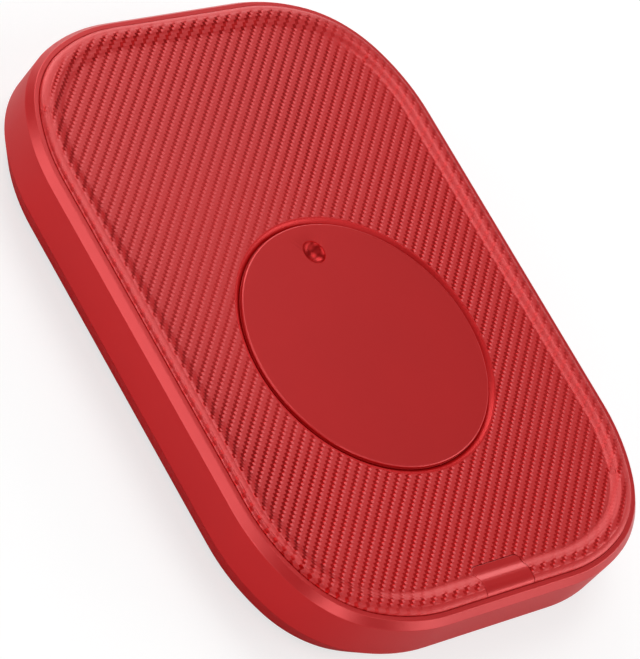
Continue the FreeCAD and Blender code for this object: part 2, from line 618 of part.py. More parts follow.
def wheel_section(z, twist):
    """Toothed outline of the wheel at one height, turned by twist about its axis."""
    half_pitch_tooth = (math.pi * MODULE - BACKLASH_GAP) / 4
    slope = math.tan(math.radians(PRESSURE_ANGLE))
    tip_radius = WHEEL_PITCH_RADIUS + MODULE
    points = []
    for i in range(WHEEL_TEETH):
        middle = math.pi / 2 + 2 * math.pi * (i + 0.5) / WHEEL_TEETH + twist
        flank = []
        for radius in (WHEEL_ROOT_RADIUS, tip_radius):
            half_tooth = half_pitch_tooth - (radius - WHEEL_PITCH_RADIUS) * slope
            flank.append((radius, half_tooth / radius))
        right = [(radius, middle - angle) for radius, angle in flank]
        left = [(radius, middle + angle) for radius, angle in reversed(flank)]
        for radius, angle in right + left:
            points.append(Vec(radius * math.cos(angle), DISC_Y + radius * math.sin(angle), z))
    return Part.makePolygon(points + points[:1])


def turntable_gear():
    """Worm wheel with skewed teeth, a hub on the axle and a cup that plugs into the disc."""
    lead_slope = WORM_PITCH / (2 * math.pi * WORM_PITCH_RADIUS)
    twist = WHEEL_THICKNESS / 2 * lead_slope / WHEEL_PITCH_RADIUS
    sections = [wheel_section(WHEEL_BOTTOM_Z, -twist), wheel_section(WHEEL_TOP_Z, twist)]
    rim = Part.makeLoft(sections, True, True)
    hub = cylinder(HUB_RADIUS, 0, DISC_Y, WHEEL_BOTTOM_Z, HUB_TOP_Z)
    cup_radius = PLUG_RADIUS - CUP_GAP
    cup = tube(cup_radius, cup_radius - CUP_WALL_THICKNESS, 0, DISC_Y, WHEEL_BOTTOM_Z, DISC_BOTTOM_Z)
    body = fused(rim, hub, cup)
    hole_circle = (PLUG_RADIUS + WHEEL_ROOT_RADIUS) / 2
    for i in range(WEB_HOLES):
        angle = 2 * math.pi * i / WEB_HOLES
        x = hole_circle * math.cos(angle)
        y = DISC_Y + hole_circle * math.sin(angle)
        body = body.cut(cylinder(WEB_HOLE_RADIUS, x, y, WHEEL_BOTTOM_Z, WHEEL_TOP_Z))
    bore = AXLE_RADIUS + RUNNING_CLEARANCE
    return body.cut(cylinder(bore, 0, DISC_Y, WHEEL_BOTTOM_Z, HUB_TOP_Z))


def turntable_axle():
    """Steel pin pressed into the floor's post, grooved for the clip."""
    top = CLIP_Z + CLIP_THICKNESS * 2
    pin = cylinder(AXLE_RADIUS, 0, DISC_Y, FLOOR_TOP_Z - AXLE_SINK_DEPTH, top)
    groove = tube(AXLE_RADIUS, AXLE_RADIUS - CLIP_GROOVE_DEPTH, 0, DISC_Y, CLIP_Z, CLIP_Z + CLIP_THICKNESS)
    return pin.cut(groove)


def thrust_washer():
    outer = HUB_RADIUS - WASHER_THICKNESS
    return tube(outer, AXLE_RADIUS, 0, DISC_Y, POST_TOP_Z, POST_TOP_Z + WASHER_THICKNESS)


def retaining_clip():
    """C-shaped clip in the axle's groove, above the hub."""
    inner = AXLE_RADIUS - CLIP_GROOVE_DEPTH
    top = CLIP_Z + CLIP_THICKNESS
    clip = tube(CLIP_RADIUS, inner, 0, DISC_Y, CLIP_Z, top)
    mouth = block((-inner, inner), (DISC_Y, DISC_Y + CLIP_RADIUS), (CLIP_Z, top))
    return clip.cut(mouth)


# ================================================================ worm and motor
def worm():
    """Single-start right-hand worm, pressed on the motor shaft."""
    half_pitch_tooth = (WORM_PITCH - BACKLASH_GAP) / 4
    slope = math.tan(math.radians(PRESSURE_ANGLE))
    sink = TIP_CLEARANCE
    corners = []
    for radius in (WORM_ROOT_RADIUS - sink, WORM_PITCH_RADIUS + MODULE):
        half_tooth = half_pitch_tooth - (radius - WORM_PITCH_RADIUS) * slope
        corners.append((radius, half_tooth))
    (root, wide), (tip, narrow) = corners
    points = [Vec(root, 0, -wide), Vec(tip, 0, -narrow), Vec(tip, 0, narrow), Vec(root, 0, wide)]
    path = Part.Wire(Part.makeHelix(WORM_PITCH, WORM_LENGTH, WORM_PITCH_RADIUS).Edges)
    thread = path.makePipeShell([Part.makePolygon(points + points[:1])], True, True)
    start = Vec(0, 0, -WORM_COLLAR_LENGTH)
    span = WORM_LENGTH + 2 * WORM_COLLAR_LENGTH
    body = thread.fuse(Part.makeCylinder(WORM_ROOT_RADIUS, span, start))
    body = body.cut(Part.makeCylinder(SHAFT_RADIUS, span, start))
    body.translate(Vec(0, 0, -WORM_LENGTH / 2))
    # Turned so that the middle of the thread faces the wheel, whose gap is there.
    body.rotate(Vec(0, 0, 0), Vec(0, 0, 1), -180 * WORM_TURNS)
    body.rotate(Vec(0, 0, 0), Vec(1, 1, 1), 120)
    body.rotate(Vec(0, 0, 0), Vec(1, 0, 0), 180)
    return placed(body, 0, WORM_Y, DRIVE_Z)


def motor_shaft():
    return rod(SHAFT_RADIUS, BEARING_X - BEARING_WIDTH / 2, CLAMP_X)


def motor_can():
    """Round coreless motor lying along X, with its front bearing nose."""
    body = fused(
        rod(MOTOR_RADIUS, MOTOR_FRONT_X, MOTOR_REAR_X),
        rod(MOTOR_NOSE_RADIUS, MOTOR_FRONT_X - MOTOR_NOSE_LENGTH, MOTOR_FRONT_X),
    )
    bore = SHAFT_RADIUS + RUNNING_CLEARANCE
    return body.cut(rod(bore, MOTOR_FRONT_X - MOTOR_NOSE_LENGTH, CLAMP_X + DISC_GAP))


def motor_end_cap():
    return rod(MOTOR_RADIUS, MOTOR_REAR_X, MOTOR_REAR_X + MOTOR_CAP_LENGTH)


def cradle_holes():
    """Screw places: two beside the motor, one beside the far bearing."""
    return [
        (CLAMP_X, WORM_Y - CLAMP_SCREW_OFFSET),
        (CLAMP_X, WORM_Y + CLAMP_SCREW_OFFSET),
        (BEARING_X, WORM_Y + BEARING_SCREW_OFFSET),
    ]


def motor_cradle():
    """Moulded bed: motor saddle, far bearing and three screw ears."""
    half_width = MOTOR_RADIUS + CRADLE_WALL_THICKNESS
    base_top = FLOOR_TOP_Z + CRADLE_BASE_THICKNESS
    left = BEARING_X - BEARING_WIDTH / 2
    base_y = (WORM_Y - BEARING_HALF_DEPTH, WORM_Y + BEARING_HALF_DEPTH)
    base = block((left, MOTOR_REAR_X), base_y, (FLOOR_TOP_Z, base_top))
    saddle_x = (MOTOR_FRONT_X + MOTOR_NOSE_LENGTH, MOTOR_REAR_X)
    saddle = block(saddle_x, (WORM_Y - half_width, WORM_Y + half_width), (FLOOR_TOP_Z, DRIVE_Z))
    bearing_top = DRIVE_Z + BEARING_HALF_DEPTH
    bearing = centred(BEARING_X, WORM_Y, BEARING_WIDTH, BEARING_HALF_DEPTH * 2, FLOOR_TOP_Z, bearing_top)
    ears = []
    for x, y in cradle_holes():
        ears.append(cylinder(EAR_RADIUS, x, y, EAR_Z, DRIVE_Z))
        ears.append(centred(x, (y + WORM_Y) / 2, BEARING_WIDTH, abs(y - WORM_Y), EAR_Z, DRIVE_Z))
    body = fused(base, saddle, bearing, *ears)
    body = body.cut(rod(MOTOR_RADIUS + CRADLE_GAP, MOTOR_FRONT_X - MOTOR_NOSE_LENGTH, MOTOR_REAR_X))
    body = body.cut(rod(SHAFT_RADIUS + RUNNING_CLEARANCE, left, MOTOR_FRONT_X))
    for x, y in cradle_holes():
        body = body.cut(clearance_hole(x, y, EAR_Z, DRIVE_Z))
    return body


def motor_clamp():
    """Sheet strap over the motor, screwed down on the cradle's ears."""
    start = CLAMP_X - CLAMP_WIDTH / 2
    end = CLAMP_X + CLAMP_WIDTH / 2
    outer = MOTOR_RADIUS + CRADLE_GAP + CLAMP_THICKNESS
    strap = rod(outer, start, end)
    reach = CLAMP_SCREW_OFFSET + SMALL_HEAD_RADIUS + CLAMP_HEAD_GAP
    ears = block((start, end), (WORM_Y - reach, WORM_Y + reach), (DRIVE_Z, DRIVE_Z + CLAMP_THICKNESS))
    body = fused(strap, ears)
    body = body.cut(block((start, end), (WORM_Y - reach, WORM_Y + reach), (DRIVE_Z - outer, DRIVE_Z)))
    body = body.cut(rod(MOTOR_RADIUS + CRADLE_GAP, start, end))
    for x, y in cradle_holes()[:2]:
        body = body.cut(clearance_hole(x, y, DRIVE_Z, DRIVE_Z + CLAMP_THICKNESS))
    return body


def cradle_screws():
    clamp_screw = small_screw(CLAMP_SCREW_LENGTH)
    bearing_screw = small_screw(SMALL_SCREW_LENGTH)
    holes = cradle_holes()
    screws = [placed(clamp_screw, x, y, DRIVE_Z + CLAMP_THICKNESS) for x, y in holes[:2]]
    screws.append(placed(bearing_screw, *holes[2], DRIVE_Z))
    return Part.makeCompound(screws)


# ================================================================ electronics
def main_board_holes():
    x = MAIN_BOARD_WIDTH / 2 - BOARD_HOLE_INSET
    ends = (MAIN_BOARD_FRONT_Y + BOARD_HOLE_INSET, short_side_y(x, POST_INSET))
    return [(side * x, y) for side in (-1, 1) for y in ends]


def button_board_holes():
    x = BUTTON_BOARD_WIDTH / 2 - BOARD_HOLE_INSET
    return [(side * x, -short_side_y(x, POST_INSET)) for side in (-1, 1)]


def board_holes():
    return main_board_holes() + button_board_holes()


def board(width, front, back, holes):
    body = block((-width / 2, width / 2), (front, back), (BOARD_Z, BOARD_TOP_Z))
    for x, y in holes:
        body = body.cut(clearance_hole(x, y, BOARD_Z, BOARD_TOP_Z))
    return body


def main_board():
    return board(MAIN_BOARD_WIDTH, MAIN_BOARD_FRONT_Y, MAIN_BOARD_EDGE_Y, main_board_holes())


def button_board():
    return board(BUTTON_BOARD_WIDTH, BUTTON_BOARD_EDGE_Y, BUTTON_BOARD_BACK_Y, button_board_holes())


def board_screws():
    one = small_screw(SMALL_SCREW_LENGTH)
    return Part.makeCompound([placed(one, x, y, BOARD_TOP_Z) for x, y in board_holes()])


def usb_c_shell():
    """Drawn metal shell, open at the wall and closed at the back."""
    back = USB_MOUTH_Y - USB_LENGTH
    return usb_profile(0, back, USB_MOUTH_Y).cut(
        usb_profile(-USB_SHELL_THICKNESS, back + USB_SHELL_THICKNESS, USB_MOUTH_Y + USB_SHELL_THICKNESS)
    )


def usb_c_tongue():
    """Insulator block inside the shell, with the contact tongue."""
    back = USB_MOUTH_Y - USB_LENGTH + USB_SHELL_THICKNESS
    block_end = back + USB_LENGTH / 4
    base = usb_profile(-USB_SHELL_THICKNESS, back, block_end)
    tongue = centred(
        0, (back + USB_MOUTH_Y) / 2, TONGUE_WIDTH, USB_MOUTH_Y - back - TONGUE_THICKNESS * 2,
        USB_Z - TONGUE_THICKNESS / 2, USB_Z + TONGUE_THICKNESS / 2,
    )
    return fused(base, tongue)


def on_board(x, y, width, depth, height):
    return centred(x, y, width, depth, BOARD_TOP_Z, BOARD_TOP_Z + height)


def controller_chip():
    middle = (MAIN_BOARD_FRONT_Y + MAIN_BOARD_EDGE_Y) / 2
    return on_board(-MAIN_BOARD_WIDTH / 5, middle, CHIP_WIDTH, CHIP_WIDTH, CHIP_HEIGHT)


def motor_driver_chip():
    middle = (MAIN_BOARD_FRONT_Y + MAIN_BOARD_EDGE_Y) / 2
    return on_board(MAIN_BOARD_WIDTH / 5, middle, DRIVER_WIDTH, DRIVER_WIDTH, CHIP_HEIGHT)


def passive_parts():
    middle = (MAIN_BOARD_FRONT_Y + MAIN_BOARD_EDGE_Y) / 2
    parts = []
    for i in range(PASSIVE_COUNT):
        y = middle + (i - (PASSIVE_COUNT - 1) / 2) * PASSIVE_PITCH
        parts.append(on_board(0, y, PASSIVE_LENGTH, PASSIVE_WIDTH, PASSIVE_HEIGHT))
    return Part.makeCompound(parts)


def board_connectors():
    """Sockets for the flex at both boards, and for the motor leads."""
    half = CONNECTOR_DEPTH / 2
    places = (
        (FLEX_X, MAIN_BOARD_FRONT_Y + half, CONNECTOR_WIDTH, CONNECTOR_DEPTH),
        (FLEX_X, BUTTON_BOARD_BACK_Y - half, CONNECTOR_WIDTH, CONNECTOR_DEPTH),
        (MAIN_BOARD_WIDTH / 2 - half, LEAD_PLUG_Y, CONNECTOR_DEPTH, LEAD_PLUG_WIDTH),
    )
    return Part.makeCompound(
        [on_board(x, y, width, depth, CONNECTOR_HEIGHT) for x, y, width, depth in places]
    )


def flex_cable():
    """Flat flex from the button board, along the floor under the wheel, to the main board."""
    high = BOARD_TOP_Z + CONNECTOR_HEIGHT / 2
    low = FLOOR_TOP_Z + FLEX_THICKNESS / 2
    points = [
        Vec(FLEX_X, BUTTON_BOARD_BACK_Y, high),
        Vec(FLEX_X, BUTTON_BOARD_BACK_Y + FLEX_RUN_LENGTH, high),
        Vec(FLEX_X, BUTTON_BOARD_BACK_Y + FLEX_RUN_LENGTH, low),
        Vec(FLEX_X, MAIN_BOARD_FRONT_Y - FLEX_RUN_LENGTH, low),
        Vec(FLEX_X, MAIN_BOARD_FRONT_Y - FLEX_RUN_LENGTH, high),
        Vec(FLEX_X, MAIN_BOARD_FRONT_Y, high),
    ]
    return ribbon(points, FLEX_BEND_RADIUS, Vec(1, 0, 0), FLEX_WIDTH, FLEX_THICKNESS)


def motor_leads():
    """Twin flat lead from the motor's rear to the main board's socket."""
    points = [
        Vec(MOTOR_REAR_X + MOTOR_CAP_LENGTH, WORM_Y, LEAD_Z),
        Vec(LEAD_LANE_X, WORM_Y, LEAD_Z),
        Vec(LEAD_LANE_X, LEAD_PLUG_Y, LEAD_Z),
        Vec(MAIN_BOARD_WIDTH / 2, LEAD_PLUG_Y, LEAD_Z),
    ]
    return ribbon(points, LEAD_BEND_RADIUS, Vec(0, 0, 1), LEAD_WIDTH, LEAD_THICKNESS)


# ================================================================ power button
def power_button():
    """Cap that continues the ridge, with a stem and two barbs that hold it in its guide."""
    cap = cover_form().common(button_notch(0))
    stem = centred(0, STEM_Y, STEM_WIDTH, STEM_DEPTH, STEM_BOTTOM_Z, SKIN_FOOT_Z)
    barb_width = STEM_WIDTH + 2 * HOOK_WIDTH
    barbs = centred(0, STEM_Y, barb_width, STEM_DEPTH, STEM_BOTTOM_Z, STEM_BOTTOM_Z + HOOK_HEIGHT)
    return fused(cap, stem, barbs)


def button_guide():
    """Collar under the carrier that the button's stem slides in."""
    low_y = -LENGTH / 2 + LEDGE_INSET + GUIDE_EDGE_GAP
    body = block(
        (-GUIDE_WIDTH / 2, GUIDE_WIDTH / 2),
        (low_y, low_y + GUIDE_LENGTH),
        (GUIDE_BOTTOM_Z, CARRIER_BOTTOM_Z),
    )
    return body.cut(centred(
        0, STEM_Y, STEM_WIDTH + 2 * GUIDE_GAP, STEM_DEPTH + 2 * GUIDE_GAP,
        GUIDE_BOTTOM_Z, CARRIER_BOTTOM_Z,
    ))


def tact_switch_body():
    body = on_board(0, STEM_Y, SWITCH_WIDTH, SWITCH_DEPTH, SWITCH_HEIGHT)
    top = BOARD_TOP_Z + SWITCH_HEIGHT
    depth = BUTTON_TRAVEL_DEPTH + PLUNGER_HEIGHT + PLUNGER_GAP
    return body.cut(cylinder(PLUNGER_RADIUS + RUNNING_CLEARANCE, 0, STEM_Y, top - depth, top))


def tact_plunger():
    return cylinder(PLUNGER_RADIUS, 0, STEM_Y, PLUNGER_TOP_Z - 2 * PLUNGER_HEIGHT, PLUNGER_TOP_Z)


def status_led():
    x = (BUTTON_WIDTH + SWITCH_WIDTH) / 4 + LED_WIDTH
    return on_board(x, STEM_Y, LED_LENGTH, LED_WIDTH, LED_HEIGHT)


NODES = {
    "bezel_frame": bezel_frame,
    "bottom_cover": bottom_cover,
    "rubber_feet": rubber_feet,
    "housing_screws": housing_screws,
    "top_carrier": top_carrier,
    "woven_skin": woven_skin,
    "turntable_disc": turntable_disc,
    "turntable_gear": turntable_gear,
    "turntable_axle": turntable_axle,
    "thrust_washer": thrust_washer,
    "retaining_clip": retaining_clip,
    "worm": worm,
    "motor_shaft": motor_shaft,
    "motor_can": motor_can,
    "motor_end_cap": motor_end_cap,
    "motor_cradle": motor_cradle,
    "motor_clamp": motor_clamp,
    "cradle_screws": cradle_screws,
    "main_board": main_board,
    "button_board": button_board,
    "board_screws": board_screws,
    "usb_c_shell": usb_c_shell,
    "usb_c_tongue": usb_c_tongue,
    "controller_chip": controller_chip,
    "motor_driver_chip": motor_driver_chip,
    "passive_parts": passive_parts,
    "board_connectors": board_connectors,
    "flex_cable": flex_cable,
    "motor_leads": motor_leads,
    "power_button": power_button,
    "button_guide": button_guide,
    "tact_switch_body": tact_switch_body,
    "tact_plunger": tact_plunger,
    "status_led": status_led,
}

os.makedirs("parts", exist_ok=True)
for name, build in NODES.items():
    build().exportStep("parts/" + name + ".step")
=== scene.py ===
"""Looks of the turntable mouse jiggler: meshes, materials, light and camera."""
import math

import bmesh
import bpy
from mathutils import Matrix, Vector


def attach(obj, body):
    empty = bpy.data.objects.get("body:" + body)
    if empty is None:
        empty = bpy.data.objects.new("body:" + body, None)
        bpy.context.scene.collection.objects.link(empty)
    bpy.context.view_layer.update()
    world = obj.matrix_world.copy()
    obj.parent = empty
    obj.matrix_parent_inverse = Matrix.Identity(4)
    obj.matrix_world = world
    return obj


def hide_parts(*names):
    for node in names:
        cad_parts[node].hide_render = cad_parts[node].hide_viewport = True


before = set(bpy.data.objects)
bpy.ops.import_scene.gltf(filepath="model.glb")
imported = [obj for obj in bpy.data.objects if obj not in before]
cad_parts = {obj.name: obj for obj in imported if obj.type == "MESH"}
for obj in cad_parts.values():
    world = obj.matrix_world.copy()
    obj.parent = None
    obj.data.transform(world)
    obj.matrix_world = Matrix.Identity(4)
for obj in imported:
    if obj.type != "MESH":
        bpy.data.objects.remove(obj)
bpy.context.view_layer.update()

MM = 0.001
QUARTER = math.pi / 2

# ---------------------------------------------------------------- sizes in millimetres
# Outline of the housing: four sides, and three tangent arcs at each corner.
WIDTH = 80.0
LENGTH = 110.0
CORNER_LENGTH = 26.5
LEAD_RADIUS = 32.0
LEAD_ANGLE = math.radians(25.0)
LAND_Z = 13.3

# The frame's cross-section, as (inset from the outline, height, edge radius).
BEZEL_SECTION = (
    (2.6, 0.8, 0.25),
    (0.0, 5.1, 0.55),
    (0.0, 12.0, 0.35),
    (0.95, 13.3, 0.16),
    (1.75, 13.3, 0.12),
    (1.75, 11.7, 0.0),
    (3.65, 11.7, 0.1),
    (3.65, 10.3, 0.0),
    (2.4, 10.3, 0.0),
    (2.4, 4.2, 0.0),
    (5.6, 4.2, 0.0),
    (5.6, 2.6, 0.0),
    (4.2, 2.6, 0.0),
    (4.2, 0.8, 0.12),
)

# Upward part of a face's direction, below which it counts as the frame's bevel or its wall. The
# bevel's downward faces take a darker matte red as painted shade.
BEVEL_BELOW = -0.2
WALL_BELOW = 0.3

# Opening in the far wall for the USB-C shell.
USB_Z = 8.1
USB_WIDTH = 8.94
USB_HEIGHT = 3.2
USB_GAP = 0.25
USB_CORNER = 1.6
USB_CUT_REACH = 8.0

# Woven cover: from its foot up to the crest, along the ridge's top, and down to the flat middle.
COVER_INSET = 1.79
CREST_INSET = 3.37
RIDGE_HEIGHT = 0.7
RIDGE_TOP_WIDTH = 0.4
RIDGE_INNER_WIDTH = 2.35
SKIN_FOOT_Z = 12.3
SKIN_FOOT_HEIGHT = 0.5
SKIN_EDGE_THICKNESS = 0.6
SKIN_UNDER_Z = LAND_Z - 0.54
WELL_RIM_RADIUS = 23.2

# The cover's hollow side from the flat middle outwards, as (inset, height).
SKIN_HOLLOW = (
    (CREST_INSET + RIDGE_TOP_WIDTH + RIDGE_INNER_WIDTH, SKIN_UNDER_Z),
    (CREST_INSET + 1.5, SKIN_UNDER_Z + 0.35),
    (CREST_INSET, SKIN_UNDER_Z + 0.65),
    (COVER_INSET + SKIN_EDGE_THICKNESS, SKIN_UNDER_Z + 0.2),
    (COVER_INSET + SKIN_EDGE_THICKNESS, SKIN_FOOT_Z),
)

# Button in the near edge, and the notch that takes it. The cap is cut from a larger blank, and
# the cutters reach past both.
BUTTON_WIDTH = 10.2
BUTTON_LENGTH = 5.2
BUTTON_CORNER = 1.0
BUTTON_GAP = 0.09
BUTTON_EDGE = 0.07
BUTTON_INNER_Y = -LENGTH / 2 + COVER_INSET + BUTTON_LENGTH
BUTTON_SPARE_WIDTH = 3.0
BUTTON_SPARE_LENGTH = 2.0
BUTTON_RIDGE_PAST_EDGE = 1.5
NOTCH_START_Y = -LENGTH / 2 - 4.0
NOTCH_BOTTOM_Z = 10.0
NOTCH_TOP_Z = 16.0

# Turntable's disc, with a skirt below and a finger dimple in its top.
DISC_Y = -8.7
DISC_RADIUS = 21.94
DISC_THICKNESS = 1.6
DISC_UNDER_Z = LAND_Z - DISC_THICKNESS
DISC_STEP_RADIUS = DISC_RADIUS + 0.1
DISC_STEP_Z = LAND_Z - 0.5
# Depth below the disc's top of its edge band, which takes the housing's lighter, glossier red as a
# painted highlight.
DISC_PAINTED_HIGHLIGHT_BAND = 0.3
SKIRT_RADIUS = 12.0
SKIRT_INNER_RADIUS = 10.6
SKIRT_END_Z = DISC_UNDER_Z - 2.0
DIMPLE_RADIUS = 2.0
DIMPLE_DEPTH = 1.25
DIMPLE_RIM = 0.12
DIMPLE_Y = DISC_Y + 16.95
DIMPLE_MARGIN = 0.1
FLAT_MARGIN = 0.001

# The disc's half-section from axis to axis, as (radius, height, edge radius).
DISC_SECTION = (
    (0.0, DISC_UNDER_Z, 0.0),
    (SKIRT_INNER_RADIUS, DISC_UNDER_Z, 0.1),
    (SKIRT_INNER_RADIUS, SKIRT_END_Z, 0.2),
    (SKIRT_RADIUS, SKIRT_END_Z, 0.2),
    (SKIRT_RADIUS, DISC_UNDER_Z, 0.1),
    (DISC_STEP_RADIUS, DISC_UNDER_Z, 0.1),
    (DISC_STEP_RADIUS, DISC_STEP_Z, 0.05),
    (DISC_RADIUS, DISC_STEP_Z, 0.0),
    (DISC_RADIUS, LAND_Z, 0.26),
    (0.0, LAND_Z, 0.0),
)

# The dimple's eased rim, as (radius, height).
DIMPLE_RIM_SECTION = (
    (DIMPLE_RADIUS + 0.09, LAND_Z),
    (DIMPLE_RADIUS + 0.04, LAND_Z - 0.02),
    (DIMPLE_RADIUS, LAND_Z - DIMPLE_RIM),
)

# Floor screws: pan heads with a cross recess, and threaded shanks with a blunt tip.
SCREW_HEAD_RADIUS = 1.9
SCREW_HEAD_HEIGHT = 1.2
SCREW_HEAD_ROUND = 0.45
SCREW_SEAT_ROUND = 0.08
SCREW_RADIUS = 0.95
SCREW_TIP_RADIUS = 0.4
SCREW_TIP_LENGTH = 0.25
SCREW_TURN_DEGREES = 25.0
THREAD_PITCH = 0.5
THREAD_DEPTH = 0.14
THREAD_START = 0.3
THREAD_MARGIN = 0.6

# The recess's two levels, as (height over the head's face, half width, reach).
RECESS_SECTION = (
    (-0.1, 0.25, 1.15),
    (0.75, 0.12, 0.35),
)

# Points round each circle, and steps from the dimple's rim to its middle.
WELL_POINTS = 160
DISC_POINTS = 200
DIMPLE_POINTS = 64
DIMPLE_STEPS = 15
SCREW_POINTS = 40

# Steepest fold, in degrees, that is still shaded smooth, and the least one that is rounded.
SMOOTH_BELOW = 35.0
SKIN_SMOOTH_BELOW = 50.0
DISC_SMOOTH_BELOW = 60.0
SCREW_SMOOTH_BELOW = 40.0
BUTTON_ROUNDED_ABOVE = 40.0

# How much large faces count in the even normals of the frame, disc and screws, in percent.
LARGE_FACE_WEIGHT = 80

# Least difference in millimetres between two insets.
TOLERANCE = 1e-6

# ---------------------------------------------------------------- weave
# Twill, in millimetres: length of a repeat along a row, height of a row, and relief.
TWILL_REPEAT = 2.355
TWILL_ROW = 0.5643
TWILL_DEPTH = 0.10

# From one row to the next, and start of the pattern, as shares of a repeat and of a row.
TWILL_STEP = 0.25
TWILL_OFFSET = 0.44
TWILL_ROW_OFFSET = 0.15

# Along a row, as shares of a repeat: where the pit, the relief and the bright tick start and end.
PIT_STARTS = (0.365, 0.405)
PIT_ENDS = (0.61, 0.65)
RELIEF_FALLS = (0.37, 0.63)
RELIEF_RISES = (0.63, 0.86)
TICK_STARTS = (0.62, 0.70)
TICK_ENDS = (0.82, 0.98)

# Across a row, as shares of its height: where a neighbour's pit reaches in and a tick ends.
PIT_FROM_ABOVE = (0.72, 0.92)
PIT_FROM_BELOW = (0.08, 0.28)
TICK_TOP = (0.40, 0.85)

# Where the photo's weave looks flatter, from the near right to the far left, as y - x in metres,
# and the shares of pit, tick and darker ground that are left or added there. There the relief is
# flatter, and the colour is painted light and shade: paler pits, fainter ticks and a darker
# ground.
FLATTER_AND_PAINTED_LIGHT_SPAN = (-28.0 * MM, 38.0 * MM)
FLATTER_AND_PAINTED_LIGHT_PIT = 0.30
PAINTED_HIGHLIGHT_KEPT_FAR_LEFT = 0.7
PAINTED_SHADE_GROUND_FAR_LEFT = 0.7

# Shares of the weave between which its pits turn deeper red and its ground darker: painted shade.
DEEPER_PAINTED_SHADE_SPAN = (1.0, 1.8)

TWILL_GROUND = (0.61, 0.003, 0.004)
# Painted shade: the darker ground toward the far left and on the deeper-shaded slopes.
TWILL_GROUND_PAINTED_SHADE = (0.58, 0.002, 0.003)
# Painted highlight: the pinker red of the tick where each thread rises after its pit.
TWILL_TICK_PAINTED_HIGHLIGHT = (0.61, 0.022, 0.026)
# Painted shade in the twill's recesses: the pits' darker red, and their near-metal finish below,
# which darkens them further.
TWILL_PIT_PAINTED_SHADE = (0.54, 0.0015, 0.002)
# Deeper painted shade in the pits on slopes that face away from the light.
TWILL_PIT_DEEPER_PAINTED_SHADE = (0.42, 0.0008, 0.001)
TWILL_METALLIC = 0.24
PIT_PAINTED_SHADE_METALLIC = 0.94
TWILL_ROUGHNESS = (0.36, 0.46)

# How much of the weave is left near the edge, as (inset from the outline, share), at each eighth
# of a turn from the right side through the far, left and near sides. The share sets the relief and
# also paints light and shade by which way each slope faces: on slopes toward the light the pits
# and ticks fade as painted light, and a share above 1 makes up for the far-left fading of the pits
# and turns them deeper red, and the ground darker, as painted shade.
EDGE_WEAVE_AND_PAINTED_LIGHT = (
    ((1.9, 0.3), (2.9, 0.6), (3.6, 0.6), (4.0, 0.25), (5.7, 0.25), (6.3, 1.0)),
    ((1.9, 0.4), (2.9, 0.5), (3.6, 0.8), (4.0, 0.6), (5.7, 0.6), (6.3, 1.0)),
    ((1.9, 0.6), (2.2, 0.3), (2.8, 0.3), (3.3, 3.3), (5.8, 3.3), (6.6, 1.0)),
    ((1.9, 0.4), (2.2, 0.15), (3.2, 0.15), (3.5, 3.2), (5.8, 3.2), (6.6, 1.0)),
    ((2.35, 1.2), (2.5, 0.2), (3.5, 0.2), (3.8, 2.4), (5.8, 2.4), (6.6, 1.0)),
    ((1.9, 1.0), (2.2, 1.0)),
    ((2.9, 0.1), (3.1, 1.0), (4.0, 1.0), (4.4, 0.12), (5.7, 0.12), (6.1, 1.0)),
    ((2.9, 0.1), (3.1, 0.9), (4.0, 0.9), (4.4, 0.2), (5.7, 0.2), (6.1, 1.0)),
)

# ---------------------------------------------------------------- studio
# Soft boxes as (azimuth, elevation, width in metres, watts), all at one distance in metres.
SOFT_BOXES = (
    (0, 20, 0.4, 0.4),
    (50, 12, 0.4, 1.0),
    (80, 28, 0.4, 2.0),
    (150, 12, 0.5, 2.0),
    (180, 12, 0.3, 1.1),
    (240, 12, 0.3, 1.0),
    (250, 28, 0.3, 0.4),
    (300, 12, 0.3, 0.7),
    (330, 20, 0.4, 1.5),
    (45, 48, 0.4, 0.4),
    (290, 50, 0.5, 0.9),
    (180, 60, 0.5, 0.4),
    (60, 70, 0.4, 1.5),
)
SOFT_BOX_DISTANCE = 0.8

WHITE = (1.0, 1.0, 1.0, 1.0)
WORLD_GREY = (0.08, 0.08, 0.08, 1.0)

# The floor's greys for rays from the camera, from glossy surfaces and from all others.
FLOOR_SEEN = (0.4, 0.4, 0.4)
FLOOR_MIRRORED = (0.9, 0.9, 0.9)
FLOOR_DIFFUSE = (0.5, 0.5, 0.5)
FLOOR_GLOW = 0.66
FLOOR_ROUGHNESS = 0.9
FLOOR_REACH = 2000.0
FLOOR_Z = -0.05

# Camera at the photo's view: metres, degrees, and the focal length in the photo's pixels.
CAMERA_PLACE = (-0.39967, -0.17834, 0.40833)
CAMERA_TURN = (38.3289, -30.2981, -33.5759)
FOCAL_PIXELS = 3846.4
PHOTO_HEIGHT = 659
SENSOR_WIDTH = 36


# ---------------------------------------------------------------- outline
def corner_arcs(inset):
    """The three arcs of the +X +Y corner as (centre, radius, start, stop)."""
    lead_span = LEAD_RADIUS * (1 - math.cos(LEAD_ANGLE) + math.sin(LEAD_ANGLE))
    tip_radius = (CORNER_LENGTH - lead_span) / (math.cos(LEAD_ANGLE) - math.sin(LEAD_ANGLE))
    side = Vector((WIDTH / 2 - LEAD_RADIUS, LENGTH / 2 - CORNER_LENGTH))
    end = Vector((WIDTH / 2 - CORNER_LENGTH, LENGTH / 2 - LEAD_RADIUS))
    lead = Vector((math.cos(LEAD_ANGLE), math.sin(LEAD_ANGLE)))
    tip = side + lead * (LEAD_RADIUS - tip_radius)
    return (
        (side, LEAD_RADIUS - inset, 0.0, LEAD_ANGLE),
        (tip, tip_radius - inset, LEAD_ANGLE, QUARTER - LEAD_ANGLE),
        (end, LEAD_RADIUS - inset, QUARTER - LEAD_ANGLE, QUARTER),
    )


